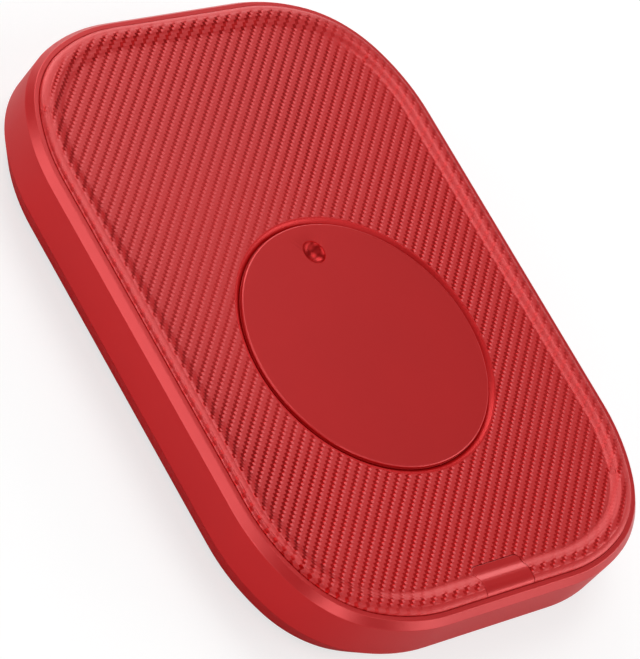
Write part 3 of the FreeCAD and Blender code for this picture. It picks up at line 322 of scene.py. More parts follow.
def outline(inset, arc_steps=(10, 16, 10), side_steps=24, end_steps=16):
    """Points round the housing, anticlockwise from the +X side's far end, moved in by inset."""
    quarter = []
    for (centre, radius, start, stop), steps in zip(corner_arcs(inset), arc_steps):
        for i in range(1 if quarter else 0, steps + 1):
            a = start + (stop - start) * i / steps
            quarter.append(centre + Vector((math.cos(a), math.sin(a))) * radius)
    corners = []
    for sx, sy in ((1, 1), (-1, 1), (-1, -1), (1, -1)):
        corner = [Vector((sx * p.x, sy * p.y)) for p in quarter]
        corners.append(corner if sx * sy > 0 else corner[::-1])
    points = []
    for index, corner in enumerate(corners):
        points += corner
        following = corners[(index + 1) % 4][0]
        steps = end_steps if index % 2 == 0 else side_steps
        points += [corner[-1].lerp(following, i / steps) for i in range(1, steps)]
    return points


def swept(section):
    """Rings of 3-D points that follow the outline, one for each (inset, height)."""
    return [[(p.x, p.y, z) for p in outline(inset)] for inset, z in section]


# ---------------------------------------------------------------- plane shapes
def rounded(section, closed=True, steps=4):
    """(inset, height) points of a section whose corners are rounded by their own radius."""
    points = []
    count = len(section)
    for i, (a, z, radius) in enumerate(section):
        here = Vector((a, z))
        is_end = not closed and i in (0, count - 1)
        if radius <= 0 or is_end:
            points.append((a, z))
            continue
        before = (Vector(section[i - 1][:2]) - here).normalized()
        after = (Vector(section[(i + 1) % count][:2]) - here).normalized()
        half = before.angle(after) / 2
        setback = radius / math.tan(half)
        centre = here + (before + after).normalized() * (radius / math.sin(half))
        first = here + before * setback - centre
        last = here + after * setback - centre
        turn = first.angle_signed(last)
        for k in range(steps + 1):
            spun = Matrix.Rotation(-turn * k / steps, 2) @ first
            points.append(tuple(centre + spun))
    return points


def circle(radius, x, y, count):
    """Points round a circle, anticlockwise."""
    turns = [2 * math.pi * i / count for i in range(count)]
    return [(x + radius * math.cos(turn), y + radius * math.sin(turn)) for turn in turns]


def rounded_box(x0, x1, y0, y1, radius, steps):
    """Points round a rectangle with rounded corners, anticlockwise."""
    plan = []
    for cx, cy, start in (
        (x1 - radius, y1 - radius, 0.0),
        (x0 + radius, y1 - radius, 90.0),
        (x0 + radius, y0 + radius, 180.0),
        (x1 - radius, y0 + radius, 270.0),
    ):
        for i in range(steps + 1):
            a = math.radians(start + 90.0 * i / steps)
            plan.append((cx + radius * math.cos(a), cy + radius * math.sin(a)))
    return plan


# ---------------------------------------------------------------- faces
def loops_to_faces(count, loops, closed):
    """Quads between rings of count points; closed joins the last ring to the first."""
    faces = []
    for row in range(loops if closed else loops - 1):
        here, there = row * count, (row + 1) % loops * count
        for i in range(count):
            j = (i + 1) % count
            faces.append((here + i, here + j, there + j, there + i))
    return faces


def prism_faces(count):
    """Two ends and the sides between two rings of count points."""
    ends = [tuple(range(count))[::-1], tuple(range(count, 2 * count))]
    return ends + loops_to_faces(count, 2, closed=False)


def prism(plan, bottom, top):
    """Upright prism from plan points."""
    verts = [(x, y, z) for z in (bottom, top) for x, y in plan]
    return verts, prism_faces(len(plan))


def join_rings(bm, low, high):
    """Quads between two rings of bmesh vertices."""
    count = len(low)
    for i in range(count):
        j = (i + 1) % count
        bm.faces.new((low[i], low[j], high[j], high[i]))


def ring_edges(bm, ring):
    """The edges round a ring of vertices, made where there are none."""
    pairs = zip(ring, ring[1:] + ring[:1])
    return [bm.edges.get(pair) or bm.edges.new(pair) for pair in pairs]


def fill_between(bm, first, second):
    """Flat triangles between two rings, one inside the other."""
    edges = ring_edges(bm, first) + ring_edges(bm, second)
    bmesh.ops.triangle_fill(bm, use_beauty=True, use_dissolve=False, edges=edges)


def taken_from(bm, unit=1.0):
    """The points, as multiples of a unit, and the faces of a bmesh, which is freed."""
    bm.verts.index_update()
    verts = [v.co / unit for v in bm.verts]
    faces = [tuple(v.index for v in face.verts) for face in bm.faces]
    bm.free()
    return verts, faces


# ---------------------------------------------------------------- pieces in the scene
def add_object(name, data):
    """A new object in the scene."""
    thing = bpy.data.objects.new(name, data)
    bpy.context.scene.collection.objects.link(thing)
    return thing


def closed_mesh(name, verts, faces):
    """A closed mesh from millimetre points, with its faces turned outwards."""
    mesh = bpy.data.meshes.new(name)
    mesh.from_pydata([Vector(v) * MM for v in verts], [], faces)
    bm = bmesh.new()
    bm.from_mesh(mesh)
    bmesh.ops.recalc_face_normals(bm, faces=bm.faces)
    bm.to_mesh(mesh)
    bm.free()
    return mesh


def smooth(mesh, below=SMOOTH_BELOW):
    """Shades the mesh smooth, apart from folds of more than so many degrees."""
    mesh.shade_smooth()
    bm = bmesh.new()
    bm.from_mesh(mesh)
    limit = math.radians(below)
    for edge in bm.edges:
        if len(edge.link_faces) == 2 and edge.calc_face_angle(0.0) > limit:
            edge.smooth = False
    bm.to_mesh(mesh)
    bm.free()


def even_normals(piece, weight=50):
    """Keeps flat faces flat beside rounded edges."""
    shade = piece.modifiers.new("even_normals", "WEIGHTED_NORMAL")
    shade.keep_sharp = True
    shade.weight = weight


def new_piece(name, shape, body, material, below=SMOOTH_BELOW):
    """A smooth-shaded piece from (millimetre points, faces), riding on a body."""
    piece = add_object(name, closed_mesh(name, *shape))
    smooth(piece.data, below)
    piece.data.materials.append(material)
    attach(piece, body)
    return piece


def shape_with(piece, verts, faces, operation="DIFFERENCE"):
    """Takes a millimetre mesh out of the piece, or keeps only what lies inside it."""
    tool = add_object("tool", closed_mesh("tool", verts, faces))
    step = piece.modifiers.new("shape", "BOOLEAN")
    step.object = tool
    step.operation = operation
    step.solver = "EXACT"
    piece.modifiers.move(len(piece.modifiers) - 1, 0)
    with bpy.context.temp_override(object=piece, active_object=piece, selected_objects=[piece]):
        bpy.ops.object.modifier_apply(modifier=step.name)
    bpy.data.objects.remove(tool)


# ---------------------------------------------------------------- node helpers
class Nodes:
    """Short-hand for building one material's node tree."""

    def __init__(self, name):
        self.material = bpy.data.materials.new(name)
        self.material.use_nodes = True
        self.tree = self.material.node_tree
        self.shader = self.tree.nodes["Principled BSDF"]
        self.place = self.tree.nodes.new("ShaderNodeTexCoord").outputs["Object"]

    def link(self, source, socket):
        """Links an output to the socket, or sets a number or colour on it."""
        if isinstance(source, (int, float)):
            socket.default_value = source
        elif isinstance(source, tuple):
            fits = len(source) == len(socket.default_value)
            socket.default_value = source if fits else (*source, 1.0)
        else:
            self.tree.links.new(source, socket)

    def math(self, operation, a, b=0.0, c=0.0):
        """Result of a maths node."""
        node = self.tree.nodes.new("ShaderNodeMath")
        node.operation = operation
        for value, socket in zip((a, b, c), node.inputs):
            self.link(value, socket)
        return node.outputs[0]

    def times(self, a, b):
        """a * b."""
        return self.math("MULTIPLY", a, b)

    def plus(self, a, b):
        """a + b."""
        return self.math("ADD", a, b)

    def minus(self, a, b):
        """a - b."""
        return self.math("SUBTRACT", a, b)

    def without(self, value):
        """1 - value."""
        return self.minus(1.0, value)

    def axes(self):
        """x, y and z of the place on the object, in metres."""
        node = self.tree.nodes.new("ShaderNodeSeparateXYZ")
        self.link(self.place, node.inputs[0])
        return node.outputs

    def attribute(self, name):
        """A point attribute of the mesh."""
        node = self.tree.nodes.new("ShaderNodeAttribute")
        node.attribute_name = name
        return node.outputs["Fac"]

    def smoothstep(self, value, low, high):
        """0 below low, 1 above high, and a smooth step between."""
        node = self.tree.nodes.new("ShaderNodeMapRange")
        node.interpolation_type = "SMOOTHSTEP"
        self.link(value, node.inputs["Value"])
        node.inputs["From Min"].default_value = low
        node.inputs["From Max"].default_value = high
        return node.outputs["Result"]

    def between(self, value, starts, ends):
        """1 from one smooth step to another, and 0 outside them."""
        before_end = self.without(self.smoothstep(value, *ends))
        return self.times(self.smoothstep(value, *starts), before_end)

    def noise(self, scale, detail=3.0, stretch=None):
        """Noise whose scale is in features a metre."""
        source = self.place
        if stretch:
            mapping = self.tree.nodes.new("ShaderNodeMapping")
            mapping.inputs["Scale"].default_value = stretch
            self.link(self.place, mapping.inputs["Vector"])
            source = mapping.outputs[0]
        node = self.tree.nodes.new("ShaderNodeTexNoise")
        node.inputs["Scale"].default_value = scale
        node.inputs["Detail"].default_value = detail
        self.link(source, node.inputs["Vector"])
        return node.outputs["Fac"]

    def mix(self, factor, a, b):
        """Colour a where the factor is 0, b where it is 1."""
        node = self.tree.nodes.new("ShaderNodeMix")
        node.data_type = "RGBA"
        self.link(factor, node.inputs["Factor"])
        self.link(a, node.inputs["A"])
        self.link(b, node.inputs["B"])
        return node.outputs["Result"]

    def span(self, value, low, high):
        """Maps 0..1 to low..high."""
        return self.math("MULTIPLY_ADD", value, high - low, low)

    def pit(self, phase, shift):
        """1 in the twill's pit, for a phase moved by shift."""
        moved = self.math("FRACT", self.plus(phase, 1.0 + shift))
        return self.between(moved, PIT_STARTS, PIT_ENDS)

    def bump(self, height, distance):
        """Normal for a height of 0..1 times the distance in metres."""
        node = self.tree.nodes.new("ShaderNodeBump")
        node.inputs["Strength"].default_value = 1.0
        node.inputs["Distance"].default_value = distance
        self.link(height, node.inputs["Height"])
        return node.outputs["Normal"]

    def finish(self, color, roughness, normal=None, **constants):
        """Wires the shader, sets its constant sockets and returns the material."""
        self.link(color, self.shader.inputs["Base Color"])
        self.link(roughness, self.shader.inputs["Roughness"])
        if normal is not None:
            self.link(normal, self.shader.inputs["Normal"])
        for name, value in constants.items():
            self.shader.inputs[name.replace("_", " ")].default_value = value
        return self.material


# ---------------------------------------------------------------- materials
# Noise, in features a metre.
DRIFT_SCALE = 60.0
SPECK_SCALE = 5200.0
DRAWN_SCALE = 900.0
WANDER_SCALE = 420.0
FIBRE_SCALE = 3000.0

# Drawn metal: relief in millimetres, colour of its darkest lines, and least and most roughness.
DRAWN_DEPTH = 0.004
DRAWN_DARKER = 0.86
DRAWN_LESS_ROUGH = 0.06
DRAWN_MORE_ROUGH = 0.08

# Twill: how far a thread wanders, and what the fibres and the row's belly add to its relief.
WANDER = 0.03
FIBRE_SHARE = 0.06
BELLY_SHARE = 0.10


def moulded(name, color, roughness, grain=0.0, variation=0.06, uneven=0.05, **constants):
    """Moulded or painted surface: slow colour drift, uneven gloss and a fine grain."""
    n = Nodes(name)
    drift = n.noise(DRIFT_SCALE)
    darker = tuple(c * (1 - variation) for c in color)
    lighter = tuple(min(c * (1 + variation), 1.0) for c in color)
    tint = n.mix(drift, darker, lighter)
    speck = n.noise(SPECK_SCALE, 2.0)
    rough = n.span(speck, roughness - uneven, roughness + uneven)
    normal = n.bump(speck, grain * MM) if grain else None
    return n.finish(tint, rough, normal, **constants)


def metal(name, color, roughness, along=(1.0, 1.0, 14.0)):
    """Metal with fine drawn or ground lines."""
    n = Nodes(name)
    lines = n.noise(DRAWN_SCALE, 4.0, along)
    tint = n.mix(lines, tuple(c * DRAWN_DARKER for c in color), color)
    rough = n.span(lines, roughness - DRAWN_LESS_ROUGH, roughness + DRAWN_MORE_ROUGH)
    return n.finish(tint, rough, n.bump(lines, DRAWN_DEPTH * MM), Metallic=1.0)


def lacquer(metallic, specular, tint):
    """Shader constants of a satin metallic lacquer, whose reflections take the red."""
    return {
        "Metallic": metallic,
        "Specular_IOR_Level": specular,
        "Specular_Tint": (1.0, tint, tint, 1.0),
    }


def twill(name):
    """Coated 3/1 twill: every fourth place in a row is a pit with painted shade, followed by a
    tick with a painted highlight.
    """
    n = Nodes(name)
    x, y, _ = n.axes()
    wander = n.span(n.noise(WANDER_SCALE, 2.0), -WANDER, WANDER)
    row_start = n.plus(wander, TWILL_ROW_OFFSET)
    row_place = n.plus(n.math("DIVIDE", y, TWILL_ROW * MM), row_start)
    across = n.math("FRACT", row_place)
    row = n.math("FLOOR", row_place)
    along = n.math("MULTIPLY_ADD", row, -TWILL_STEP, n.math("DIVIDE", x, TWILL_REPEAT * MM))
    phase = n.math("FRACT", n.plus(along, n.plus(wander, TWILL_OFFSET)))

    weave = n.attribute("weave")
    # Deeper painted shade in pits and ground where the share is above 1.
    deeper_painted_shade = n.smoothstep(weave, *DEEPER_PAINTED_SHADE_SPAN)
    # Flatter relief and painted light from the near right to the far left: pits and ticks fade and
    # the ground darkens there.
    flatter_and_painted_light = n.smoothstep(n.minus(y, x), *FLATTER_AND_PAINTED_LIGHT_SPAN)
    keep = n.math("MINIMUM", n.times(weave, n.span(flatter_and_painted_light, 1.0, FLATTER_AND_PAINTED_LIGHT_PIT)), 1.0)

    fall = n.smoothstep(phase, *RELIEF_FALLS)
    rise = n.smoothstep(phase, *RELIEF_RISES)
    crown = n.without(n.minus(fall, rise))
    # A parabola across the row, 1 in its middle.
    belly = n.times(n.times(across, n.without(across)), 4.0)
    fibre = n.noise(FIBRE_SCALE, 2.0, (1.0, 3.0, 1.0))
    tall = n.math("MULTIPLY_ADD", belly, BELLY_SHARE, crown)
    tall = n.times(keep, n.math("MULTIPLY_ADD", fibre, FIBRE_SHARE, tall))

    # Pits of the pattern, which take the painted shade: a darker red and a near-metal finish.
    above = n.times(n.pit(phase, -TWILL_STEP), n.smoothstep(across, *PIT_FROM_ABOVE))
    below = n.times(n.pit(phase, TWILL_STEP), n.without(n.smoothstep(across, *PIT_FROM_BELOW)))
    pit = n.math("MAXIMUM", n.pit(phase, 0.0), n.math("MAXIMUM", above, below))
    pit = n.times(keep, pit)

    # Ticks, which take a painted highlight where each thread rises.
    tick = n.between(phase, TICK_STARTS, TICK_ENDS)
    low = n.without(n.smoothstep(across, *TICK_TOP))
    kept_tick = n.math("MINIMUM", weave, n.span(flatter_and_painted_light, 1.0, PAINTED_HIGHLIGHT_KEPT_FAR_LEFT))
    tick = n.times(kept_tick, n.times(tick, low))

    # Painted shade: the ground darkens on the deeper-shaded slopes and toward the far left.
    painted_shade_share = n.math("MAXIMUM", deeper_painted_shade, n.times(flatter_and_painted_light, PAINTED_SHADE_GROUND_FAR_LEFT))
    ground = n.mix(painted_shade_share, TWILL_GROUND, TWILL_GROUND_PAINTED_SHADE)
    tint = n.mix(tick, ground, TWILL_TICK_PAINTED_HIGHLIGHT)
    tint = n.mix(pit, tint, n.mix(deeper_painted_shade, TWILL_PIT_PAINTED_SHADE, TWILL_PIT_DEEPER_PAINTED_SHADE))
    n.link(n.span(pit, TWILL_METALLIC, PIT_PAINTED_SHADE_METALLIC), n.shader.inputs["Metallic"])
    rough = n.span(fibre, *TWILL_ROUGHNESS)
    gloss = {"Specular_IOR_Level": 1.0, "Specular_Tint": (1.0, 0.9, 0.9, 1.0)}
    return n.finish(tint, rough, n.bump(tall, TWILL_DEPTH * MM), **gloss)


SATIN = lacquer(0.32, 0.9, 0.9)
MATT = {"Specular_IOR_Level": 0.1}

HOUSING_RED = moulded("housing_red", (0.62, 0.012, 0.014), 0.33, grain=0.004, **SATIN)
BUTTON_RED = moulded("button_red", (0.62, 0.014, 0.016), 0.28, uneven=0.01, **SATIN)
DISC_RED = moulded(
    "disc_red", (0.53, 0.004, 0.005), 0.42, grain=0.008, **lacquer(0.5, 0.9, 0.78))
WALL_RED = moulded(
    "wall_red", (0.61, 0.010, 0.012), 0.42, grain=0.004, **lacquer(0.4, 0.5, 0.8))
WELL_RED = moulded("well_red", (0.62, 0.004, 0.006), 0.43, **lacquer(0.45, 0.7, 0.82))
# The dimple's bowl: a glossier finish, and a darker red that is painted shade in the hollow.
BOWL_PAINTED_SHADE_RED = moulded(
    "bowl_painted_shade_red", (0.46, 0.001, 0.002), 0.34, uneven=0.01, **lacquer(0.6, 0.7, 0.8))
# Dark matte red for the dimple's rim: a painted shadow line round the hollow.
RIM_PAINTED_SHADE_RED = moulded("rim_painted_shade_red", (0.50, 0.001, 0.002), 0.5, **MATT)
# Darker matte copy of the housing red for the frame's downward faces: painted shade.
BEVEL_PAINTED_SHADE_RED = moulded("bevel_painted_shade_red", (0.50, 0.008, 0.010), 0.6, grain=0.02, **MATT)
BASE_RED = moulded("base_red", (0.33, 0.010, 0.012), 0.5, grain=0.02)
TWILL_RED = twill("woven_red")

# Materials by CAD node. The screws' node is replaced, but the pieces that replace it and other
# screws take its steel.
NODE_MATERIALS = {
    "top_carrier": WELL_RED,
    "bottom_cover": BASE_RED,
    "rubber_feet": moulded("foot_rubber", (0.03, 0.03, 0.032), 0.75, grain=0.03),
    "housing_screws": metal("screw_steel", (0.56, 0.56, 0.57), 0.32),
    "turntable_gear": moulded("gear_white", (0.78, 0.77, 0.73), 0.38, grain=0.004),
    "turntable_axle": metal("axle_steel", (0.68, 0.68, 0.7), 0.2),
    "worm": metal("worm_brass", (0.78, 0.58, 0.28), 0.28, along=(6.0, 1.0, 1.0)),
    "motor_can": metal("motor_steel", (0.62, 0.62, 0.63), 0.3, along=(14.0, 1.0, 1.0)),
    "motor_cradle": moulded("inner_black", (0.03, 0.03, 0.033), 0.45, grain=0.01),
    "main_board": moulded("board_green", (0.015, 0.13, 0.05), 0.3, grain=0.01, variation=0.3),
    "usb_c_shell": metal("connector_metal", (0.75, 0.75, 0.77), 0.18, along=(1.0, 14.0, 1.0)),
    "flex_cable": moulded("flex_amber", (0.5, 0.22, 0.03), 0.3, variation=0.2),
    "motor_leads": moulded("lead_black", (0.02, 0.02, 0.02), 0.5, grain=0.01),
    "status_led": moulded("led_clear", (0.85, 0.85, 0.8), 0.15),
}

# Further nodes with the same material as the first.
SAME_MATERIAL = {
    "turntable_axle": ("thrust_washer", "retaining_clip", "motor_shaft"),
    "motor_can": ("motor_clamp",),
    "housing_screws": ("cradle_screws", "board_screws"),
    "main_board": ("button_board",),
    "turntable_gear": ("board_connectors",),
    "motor_cradle": (
        "motor_end_cap",
        "usb_c_tongue",
        "controller_chip",
        "motor_driver_chip",
        "passive_parts",
        "button_guide",
        "tact_switch_body",
        "tact_plunger",
    ),
}


def dress_nodes():
    """Gives the CAD nodes their materials."""
    for first, material in NODE_MATERIALS.items():
        for name in (first, *SAME_MATERIAL.get(first, ())):
            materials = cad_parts[name].data.materials
            materials.clear()
            materials.append(material)


# ---------------------------------------------------------------- woven cover's shape
def ridge_profile(outer_steps=14, inner_steps=18):
    """(inset, height) of the woven cover from its foot, over the ridge, to the flat middle."""
    points = [(COVER_INSET, SKIN_FOOT_Z), (COVER_INSET, SKIN_FOOT_Z + SKIN_FOOT_HEIGHT)]
    for i in range(outer_steps + 1):
        a = QUARTER * i / outer_steps
        run = (CREST_INSET - COVER_INSET) * (1 - math.cos(a))
        points.append((COVER_INSET + run, LAND_Z + RIDGE_HEIGHT * math.sin(a)))
    for i in range(inner_steps + 1):
        share = i / inner_steps
        # Eased fall from 0 to 1, level at both ends.
        fall = share ** 3 * (10 - 15 * share + 6 * share ** 2)
        inset = CREST_INSET + RIDGE_TOP_WIDTH + RIDGE_INNER_WIDTH * share
        points.append((inset, LAND_Z + RIDGE_HEIGHT * (1 - fall)))
    return points


def edge_place(x, y):
    """Inset from the outline and outward direction in quarter turns, near the edge."""
    ax, ay = abs(x), abs(y)
    inset, turn = min((WIDTH / 2 - ax, 0.0), (LENGTH / 2 - ay, 1.0))
    for centre, radius, start, stop in corner_arcs(0.0):
        angle = math.atan2(ay - centre.y, ax - centre.x)
        here = radius - math.hypot(ax - centre.x, ay - centre.y)
        if start <= angle <= stop and here < inset + TOLERANCE:
            inset, turn = here, angle / QUARTER
    if x < 0:
        turn = 2.0 - turn
    if y < 0:
        turn = -turn % 4.0
    return inset, turn


def share_at(table, inset):
    """Share of the weave at an inset, from (inset, share) rows with straight runs between."""
    value = table[0][1]
    for (a, low), (b, high) in zip(table, table[1:]):
        if inset > a:
            value = low + (high - low) * min((inset - a) / (b - a), 1.0)
    return value


def weave_and_painted_light_at(x, y):
    """Share of the weave, with its painted light and shade, at a point, blended round the corners.
    """
    inset, turn = edge_place(x, y)
    eighths = turn * 2
    before = int(eighths)
    first = share_at(EDGE_WEAVE_AND_PAINTED_LIGHT[before % len(EDGE_WEAVE_AND_PAINTED_LIGHT)], inset)
    second = share_at(EDGE_WEAVE_AND_PAINTED_LIGHT[(before + 1) % len(EDGE_WEAVE_AND_PAINTED_LIGHT)], inset)
    return first + (second - first) * (eighths - before)


# ---------------------------------------------------------------- pieces
def build_bezel():
    """Frame: the section swept round the outline, with the inlet's opening in its far wall."""
    rings = swept(rounded(BEZEL_SECTION))
    verts = [v for ring in rings for v in ring]
    faces = loops_to_faces(len(rings[0]), len(rings), closed=True)
    piece = new_piece("bezel_shell", (verts, faces), "housing", HOUSING_RED)
    even_normals(piece, LARGE_FACE_WEIGHT)
    half_width = USB_WIDTH / 2 + USB_GAP
    half_height = USB_HEIGHT / 2 + USB_GAP
    low, high = USB_Z - half_height, USB_Z + half_height
    plan = rounded_box(-half_width, half_width, low, high, USB_CORNER, steps=8)
    verts, faces = prism(plan, LENGTH / 2 - USB_CUT_REACH, LENGTH / 2 + USB_CUT_REACH)
    shape_with(piece, [(x, y, z) for x, z, y in verts], faces)
    smooth(piece.data)
    piece.data.materials.append(WALL_RED)
    # The bevel's darker matte red is painted shade on the frame's downward faces.
    piece.data.materials.append(BEVEL_PAINTED_SHADE_RED)
    for face in piece.data.polygons:
        if face.normal.z < BEVEL_BELOW:
            face.material_index = 2
        elif face.normal.z < WALL_BELOW:
            face.material_index = 1
    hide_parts("bezel_frame")


def build_skin():
    """Woven cover: swept ridge, flat middle with the well's hole, and the button's notch."""
    top = ridge_profile()
    bm = bmesh.new()
    rows = [[bm.verts.new(v) for v in ring] for ring in swept(top + list(SKIN_HOLLOW))]
    flat = len(top) - 1
    for row in range(len(rows)):
        if row != flat:
            join_rings(bm, rows[row], rows[(row + 1) % len(rows)])
    rims = []
    for z, row in ((LAND_Z, rows[flat]), (SKIN_UNDER_Z, rows[flat + 1])):
        plan = circle(WELL_RIM_RADIUS, 0, DISC_Y, WELL_POINTS)
        rim = [bm.verts.new((x, y, z)) for x, y in plan]
        fill_between(bm, rim, row)
        rims.append(rim)
    join_rings(bm, *rims)
    piece = new_piece("woven_cover", taken_from(bm), "housing", TWILL_RED, SKIN_SMOOTH_BELOW)
    half = BUTTON_WIDTH / 2 + BUTTON_GAP
    inner_y = BUTTON_INNER_Y + BUTTON_GAP
    plan = rounded_box(-half, half, NOTCH_START_Y, inner_y, BUTTON_CORNER + BUTTON_GAP, steps=6)
    shape_with(piece, *prism(plan, NOTCH_BOTTOM_Z, NOTCH_TOP_Z))
    smooth(piece.data, SKIN_SMOOTH_BELOW)
    # Per-point share of the weave's relief, which also paints light and shade by which way the
    # edge's slopes face.
    weave = piece.data.attributes.new("weave", "FLOAT", "POINT")
    for vertex, item in zip(piece.data.vertices, weave.data):
        item.value = weave_and_painted_light_at(vertex.co.x / MM, vertex.co.y / MM)
    even_normals(piece)
    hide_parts("woven_skin")


def build_button():
    """Cap with the cover's own section, cut to the notch's plan."""
    ridge = [(inset - LENGTH / 2, z) for inset, z in ridge_profile(outer_steps=20, inner_steps=28)]
    section = [(y, z) for y, z in ridge if y <= BUTTON_INNER_Y + BUTTON_RIDGE_PAST_EDGE]
    end_y = BUTTON_INNER_Y + BUTTON_SPARE_LENGTH
    section += [(end_y, section[-1][1]), (end_y, SKIN_FOOT_Z)]
    half = BUTTON_WIDTH / 2
    verts, faces = prism(section, -half - BUTTON_SPARE_WIDTH, half + BUTTON_SPARE_WIDTH)
    verts = [(x, y, z) for y, z, x in verts]
    piece = new_piece("power_cap", (verts, faces), "button", BUTTON_RED)
    plan = rounded_box(-half, half, NOTCH_START_Y, BUTTON_INNER_Y, BUTTON_CORNER, steps=10)
    shape_with(piece, *prism(plan, NOTCH_BOTTOM_Z, NOTCH_TOP_Z), "INTERSECT")
    smooth(piece.data)
    edge = piece.modifiers.new("edge", "BEVEL")
    edge.width = BUTTON_EDGE * MM
    edge.segments = 2
    edge.limit_method = "ANGLE"
    edge.angle_limit = math.radians(BUTTON_ROUNDED_ABOVE)
    even_normals(piece)
    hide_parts("power_button")


def dimple_section():
    """(radius, height) of the dimple from its eased rim down a ball's curve to near its middle."""
    depth = DIMPLE_DEPTH - DIMPLE_RIM
    ball = (DIMPLE_RADIUS ** 2 + depth ** 2) / (2 * depth)
    section = list(DIMPLE_RIM_SECTION)
    for i in range(1, DIMPLE_STEPS):
        radius = DIMPLE_RADIUS * (1 - i / DIMPLE_STEPS)
        height = ball - math.sqrt(ball ** 2 - radius ** 2)
        section.append((radius, LAND_Z - DIMPLE_DEPTH + height))
    return section


def turned_rings(bm, section, y, count):
    """Rings of vertices in metres round an upright axis at y, with faces between them."""
    rings = []
    for radius, z in section:
        plan = circle(radius, 0, y, count)
        rings.append([bm.verts.new(Vector((px, py, z)) * MM) for px, py in plan])
    for low, high in zip(rings, rings[1:]):
        join_rings(bm, low, high)
    return rings


def build_disc():
    """Flat disc with a rounded edge and a finger dimple whose rim is eased."""
    bm = bmesh.new()
    section = rounded(DISC_SECTION, closed=False, steps=5)[1:-1]
    rings = turned_rings(bm, section, DISC_Y, DISC_POINTS)
    bm.faces.new(rings[0][::-1])
    dimple = turned_rings(bm, dimple_section(), DIMPLE_Y, DIMPLE_POINTS)
    bm.faces.new(dimple[-1])
    fill_between(bm, rings[-1], dimple[0])
    shape = taken_from(bm, MM)
    piece = new_piece("turntable_top", shape, "turntable", DISC_RED, DISC_SMOOTH_BELOW)
    even_normals(piece, LARGE_FACE_WEIGHT)
    # Bowl faces take the darker red, painted shade in the dimple.
    piece.data.materials.append(BOWL_PAINTED_SHADE_RED)
    # Rim faces take the dark matte red, a painted shadow line.
    piece.data.materials.append(RIM_PAINTED_SHADE_RED)
    # The top of the disc's edge takes the housing's lighter, glossier red: a painted highlight.
    piece.data.materials.append(HOUSING_RED)
    for face in piece.data.polygons:
        x, y, z = face.center / MM
        if DISC_UNDER_Z + DIMPLE_MARGIN < z < LAND_Z - FLAT_MARGIN:
            if math.hypot(x, y - DIMPLE_Y) < DIMPLE_RADIUS + DIMPLE_MARGIN:
                face.material_index = 2 if z > LAND_Z - DIMPLE_RIM else 1
            elif z > LAND_Z - DISC_PAINTED_HIGHLIGHT_BAND:
                face.material_index = 3
    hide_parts("turntable_disc")


def screw_section(low, high):
    """(radius, height) of a floor screw from the rim of its head's face to its tip."""
    seat = low + SCREW_HEAD_HEIGHT
    section = rounded((
        (0.0, low, 0.0),
        (SCREW_HEAD_RADIUS, low, SCREW_HEAD_ROUND),
        (SCREW_HEAD_RADIUS, seat, SCREW_SEAT_ROUND),
        (SCREW_RADIUS, seat, 0.0),
    ), closed=False, steps=5)[1:]
    root = SCREW_RADIUS - THREAD_DEPTH
    for i in range(int((high - seat - THREAD_MARGIN) / THREAD_PITCH)):
        z = seat + THREAD_START + i * THREAD_PITCH
        section += [(root, z), (SCREW_RADIUS, z + THREAD_PITCH / 2)]
    return section + [(root, high - SCREW_TIP_LENGTH), (SCREW_TIP_RADIUS, high)]


def recess(cx, cy, low, turn):
    """Tapered slot across a screw's head."""
    cos, sin = math.cos(turn), math.sin(turn)
    verts = []
    for rise, half, reach in RECESS_SECTION:
        for u, v in ((-reach, -half), (reach, -half), (reach, half), (-reach, half)):
            verts.append((cx + u * cos - v * sin, cy + u * sin + v * cos, low + rise))
    return verts, prism_faces(4)


def build_screws():
    """Four floor screws, each in the place of one of the CAD node's."""
    points = [v.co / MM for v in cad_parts["housing_screws"].data.vertices]
    low, high = min(p.z for p in points), max(p.z for p in points)
    section = screw_section(low, high)
    steel = NODE_MATERIALS["housing_screws"]
    for number, (sx, sy) in enumerate(((1, 1), (-1, 1), (-1, -1), (1, -1)), 1):
        corner = [p for p in points if p.x * sx > 0 and p.y * sy > 0]
        cx = (min(p.x for p in corner) + max(p.x for p in corner)) / 2
        cy = (min(p.y for p in corner) + max(p.y for p in corner)) / 2
        verts = []
        for radius, z in section:
            verts += [(x, y, z) for x, y in circle(radius, cx, cy, SCREW_POINTS)]
        faces = loops_to_faces(SCREW_POINTS, len(section), closed=False)
        faces.append(tuple(range(SCREW_POINTS))[::-1])
        faces.append(tuple(range(len(verts) - SCREW_POINTS, len(verts))))
        name = f"floor_screw_{number}"
        piece = new_piece(name, (verts, faces), "housing", steel, SCREW_SMOOTH_BELOW)
        even_normals(piece, LARGE_FACE_WEIGHT)
        spin = math.radians(SCREW_TURN_DEGREES * number)
        for turn in (spin, spin + QUARTER):
            shape_with(piece, *recess(cx, cy, low, turn))
        smooth(piece.data, SCREW_SMOOTH_BELOW)
        if number == 1:
            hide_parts("housing_screws")


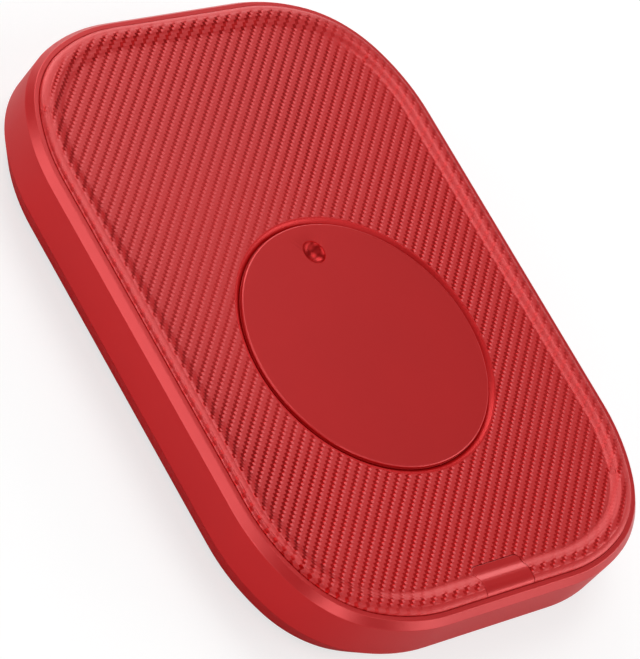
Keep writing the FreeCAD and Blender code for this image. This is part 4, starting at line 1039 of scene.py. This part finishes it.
# ---------------------------------------------------------------- floor, light and camera
def build_floor():
    """Floor that looks white, mirrors as pale grey and lights the object as mid grey."""
    corners = ((-1, -1), (1, -1), (1, 1), (-1, 1))
    points = [Vector((x * FLOOR_REACH, y * FLOOR_REACH, FLOOR_Z)) * MM for x, y in corners]
    mesh = bpy.data.meshes.new("floor")
    mesh.from_pydata(points, [], [(0, 1, 2, 3)])
    add_object("floor", mesh)
    n = Nodes("floor_white")
    rays = n.tree.nodes.new("ShaderNodeLightPath").outputs
    seen = n.math("MAXIMUM", rays["Is Camera Ray"], rays["Is Transmission Ray"])
    tint = n.mix(rays["Is Glossy Ray"], FLOOR_DIFFUSE, FLOOR_MIRRORED)
    tint = n.mix(seen, tint, FLOOR_SEEN)
    n.link(n.times(seen, FLOOR_GLOW), n.shader.inputs["Emission Strength"])
    plain = {"Specular_IOR_Level": 0.0, "Emission_Color": WHITE}
    mesh.materials.append(n.finish(tint, FLOOR_ROUGHNESS, **plain))


def build_world():
    """Sky that is white to the camera and dark grey to the object."""
    world = bpy.data.worlds.new("studio")
    bpy.context.scene.world = world
    world.use_nodes = True
    tree = world.node_tree
    rays = tree.nodes.new("ShaderNodeLightPath").outputs
    tint = tree.nodes.new("ShaderNodeMix")
    tint.data_type = "RGBA"
    tree.links.new(rays["Is Camera Ray"], tint.inputs["Factor"])
    tint.inputs["A"].default_value = WORLD_GREY
    tint.inputs["B"].default_value = WHITE
    tree.links.new(tint.outputs["Result"], tree.nodes["Background"].inputs["Color"])


def build_soft_boxes():
    """Square area lamps that face the object and don't show in the picture."""
    for number, (azimuth, elevation, size, power) in enumerate(SOFT_BOXES):
        data = bpy.data.lights.new(f"soft_box_{number}", "AREA")
        data.shape = "SQUARE"
        data.size = size
        data.energy = power
        lamp = add_object(data.name, data)
        turn, rise = math.radians(azimuth), math.radians(elevation)
        flat = math.cos(rise)
        away = Vector((math.cos(turn) * flat, math.sin(turn) * flat, math.sin(rise)))
        lamp.location = away * SOFT_BOX_DISTANCE
        lamp.rotation_euler = (-lamp.location).to_track_quat("-Z", "Y").to_euler()
        lamp.visible_camera = False


def build_camera():
    """Camera at the photo's view."""
    data = bpy.data.cameras.new("camera")
    data.lens = FOCAL_PIXELS * SENSOR_WIDTH / PHOTO_HEIGHT
    data.clip_start = 0.01
    data.clip_end = 100
    camera = add_object("camera", data)
    camera.location = CAMERA_PLACE
    camera.rotation_euler = tuple(math.radians(a) for a in CAMERA_TURN)
    bpy.context.scene.camera = camera


dress_nodes()
build_bezel()
build_skin()
build_button()
build_disc()
build_screws()
build_floor()
build_world()
build_soft_boxes()
build_camera()
bpy.context.scene.view_settings.view_transform = "Standard"
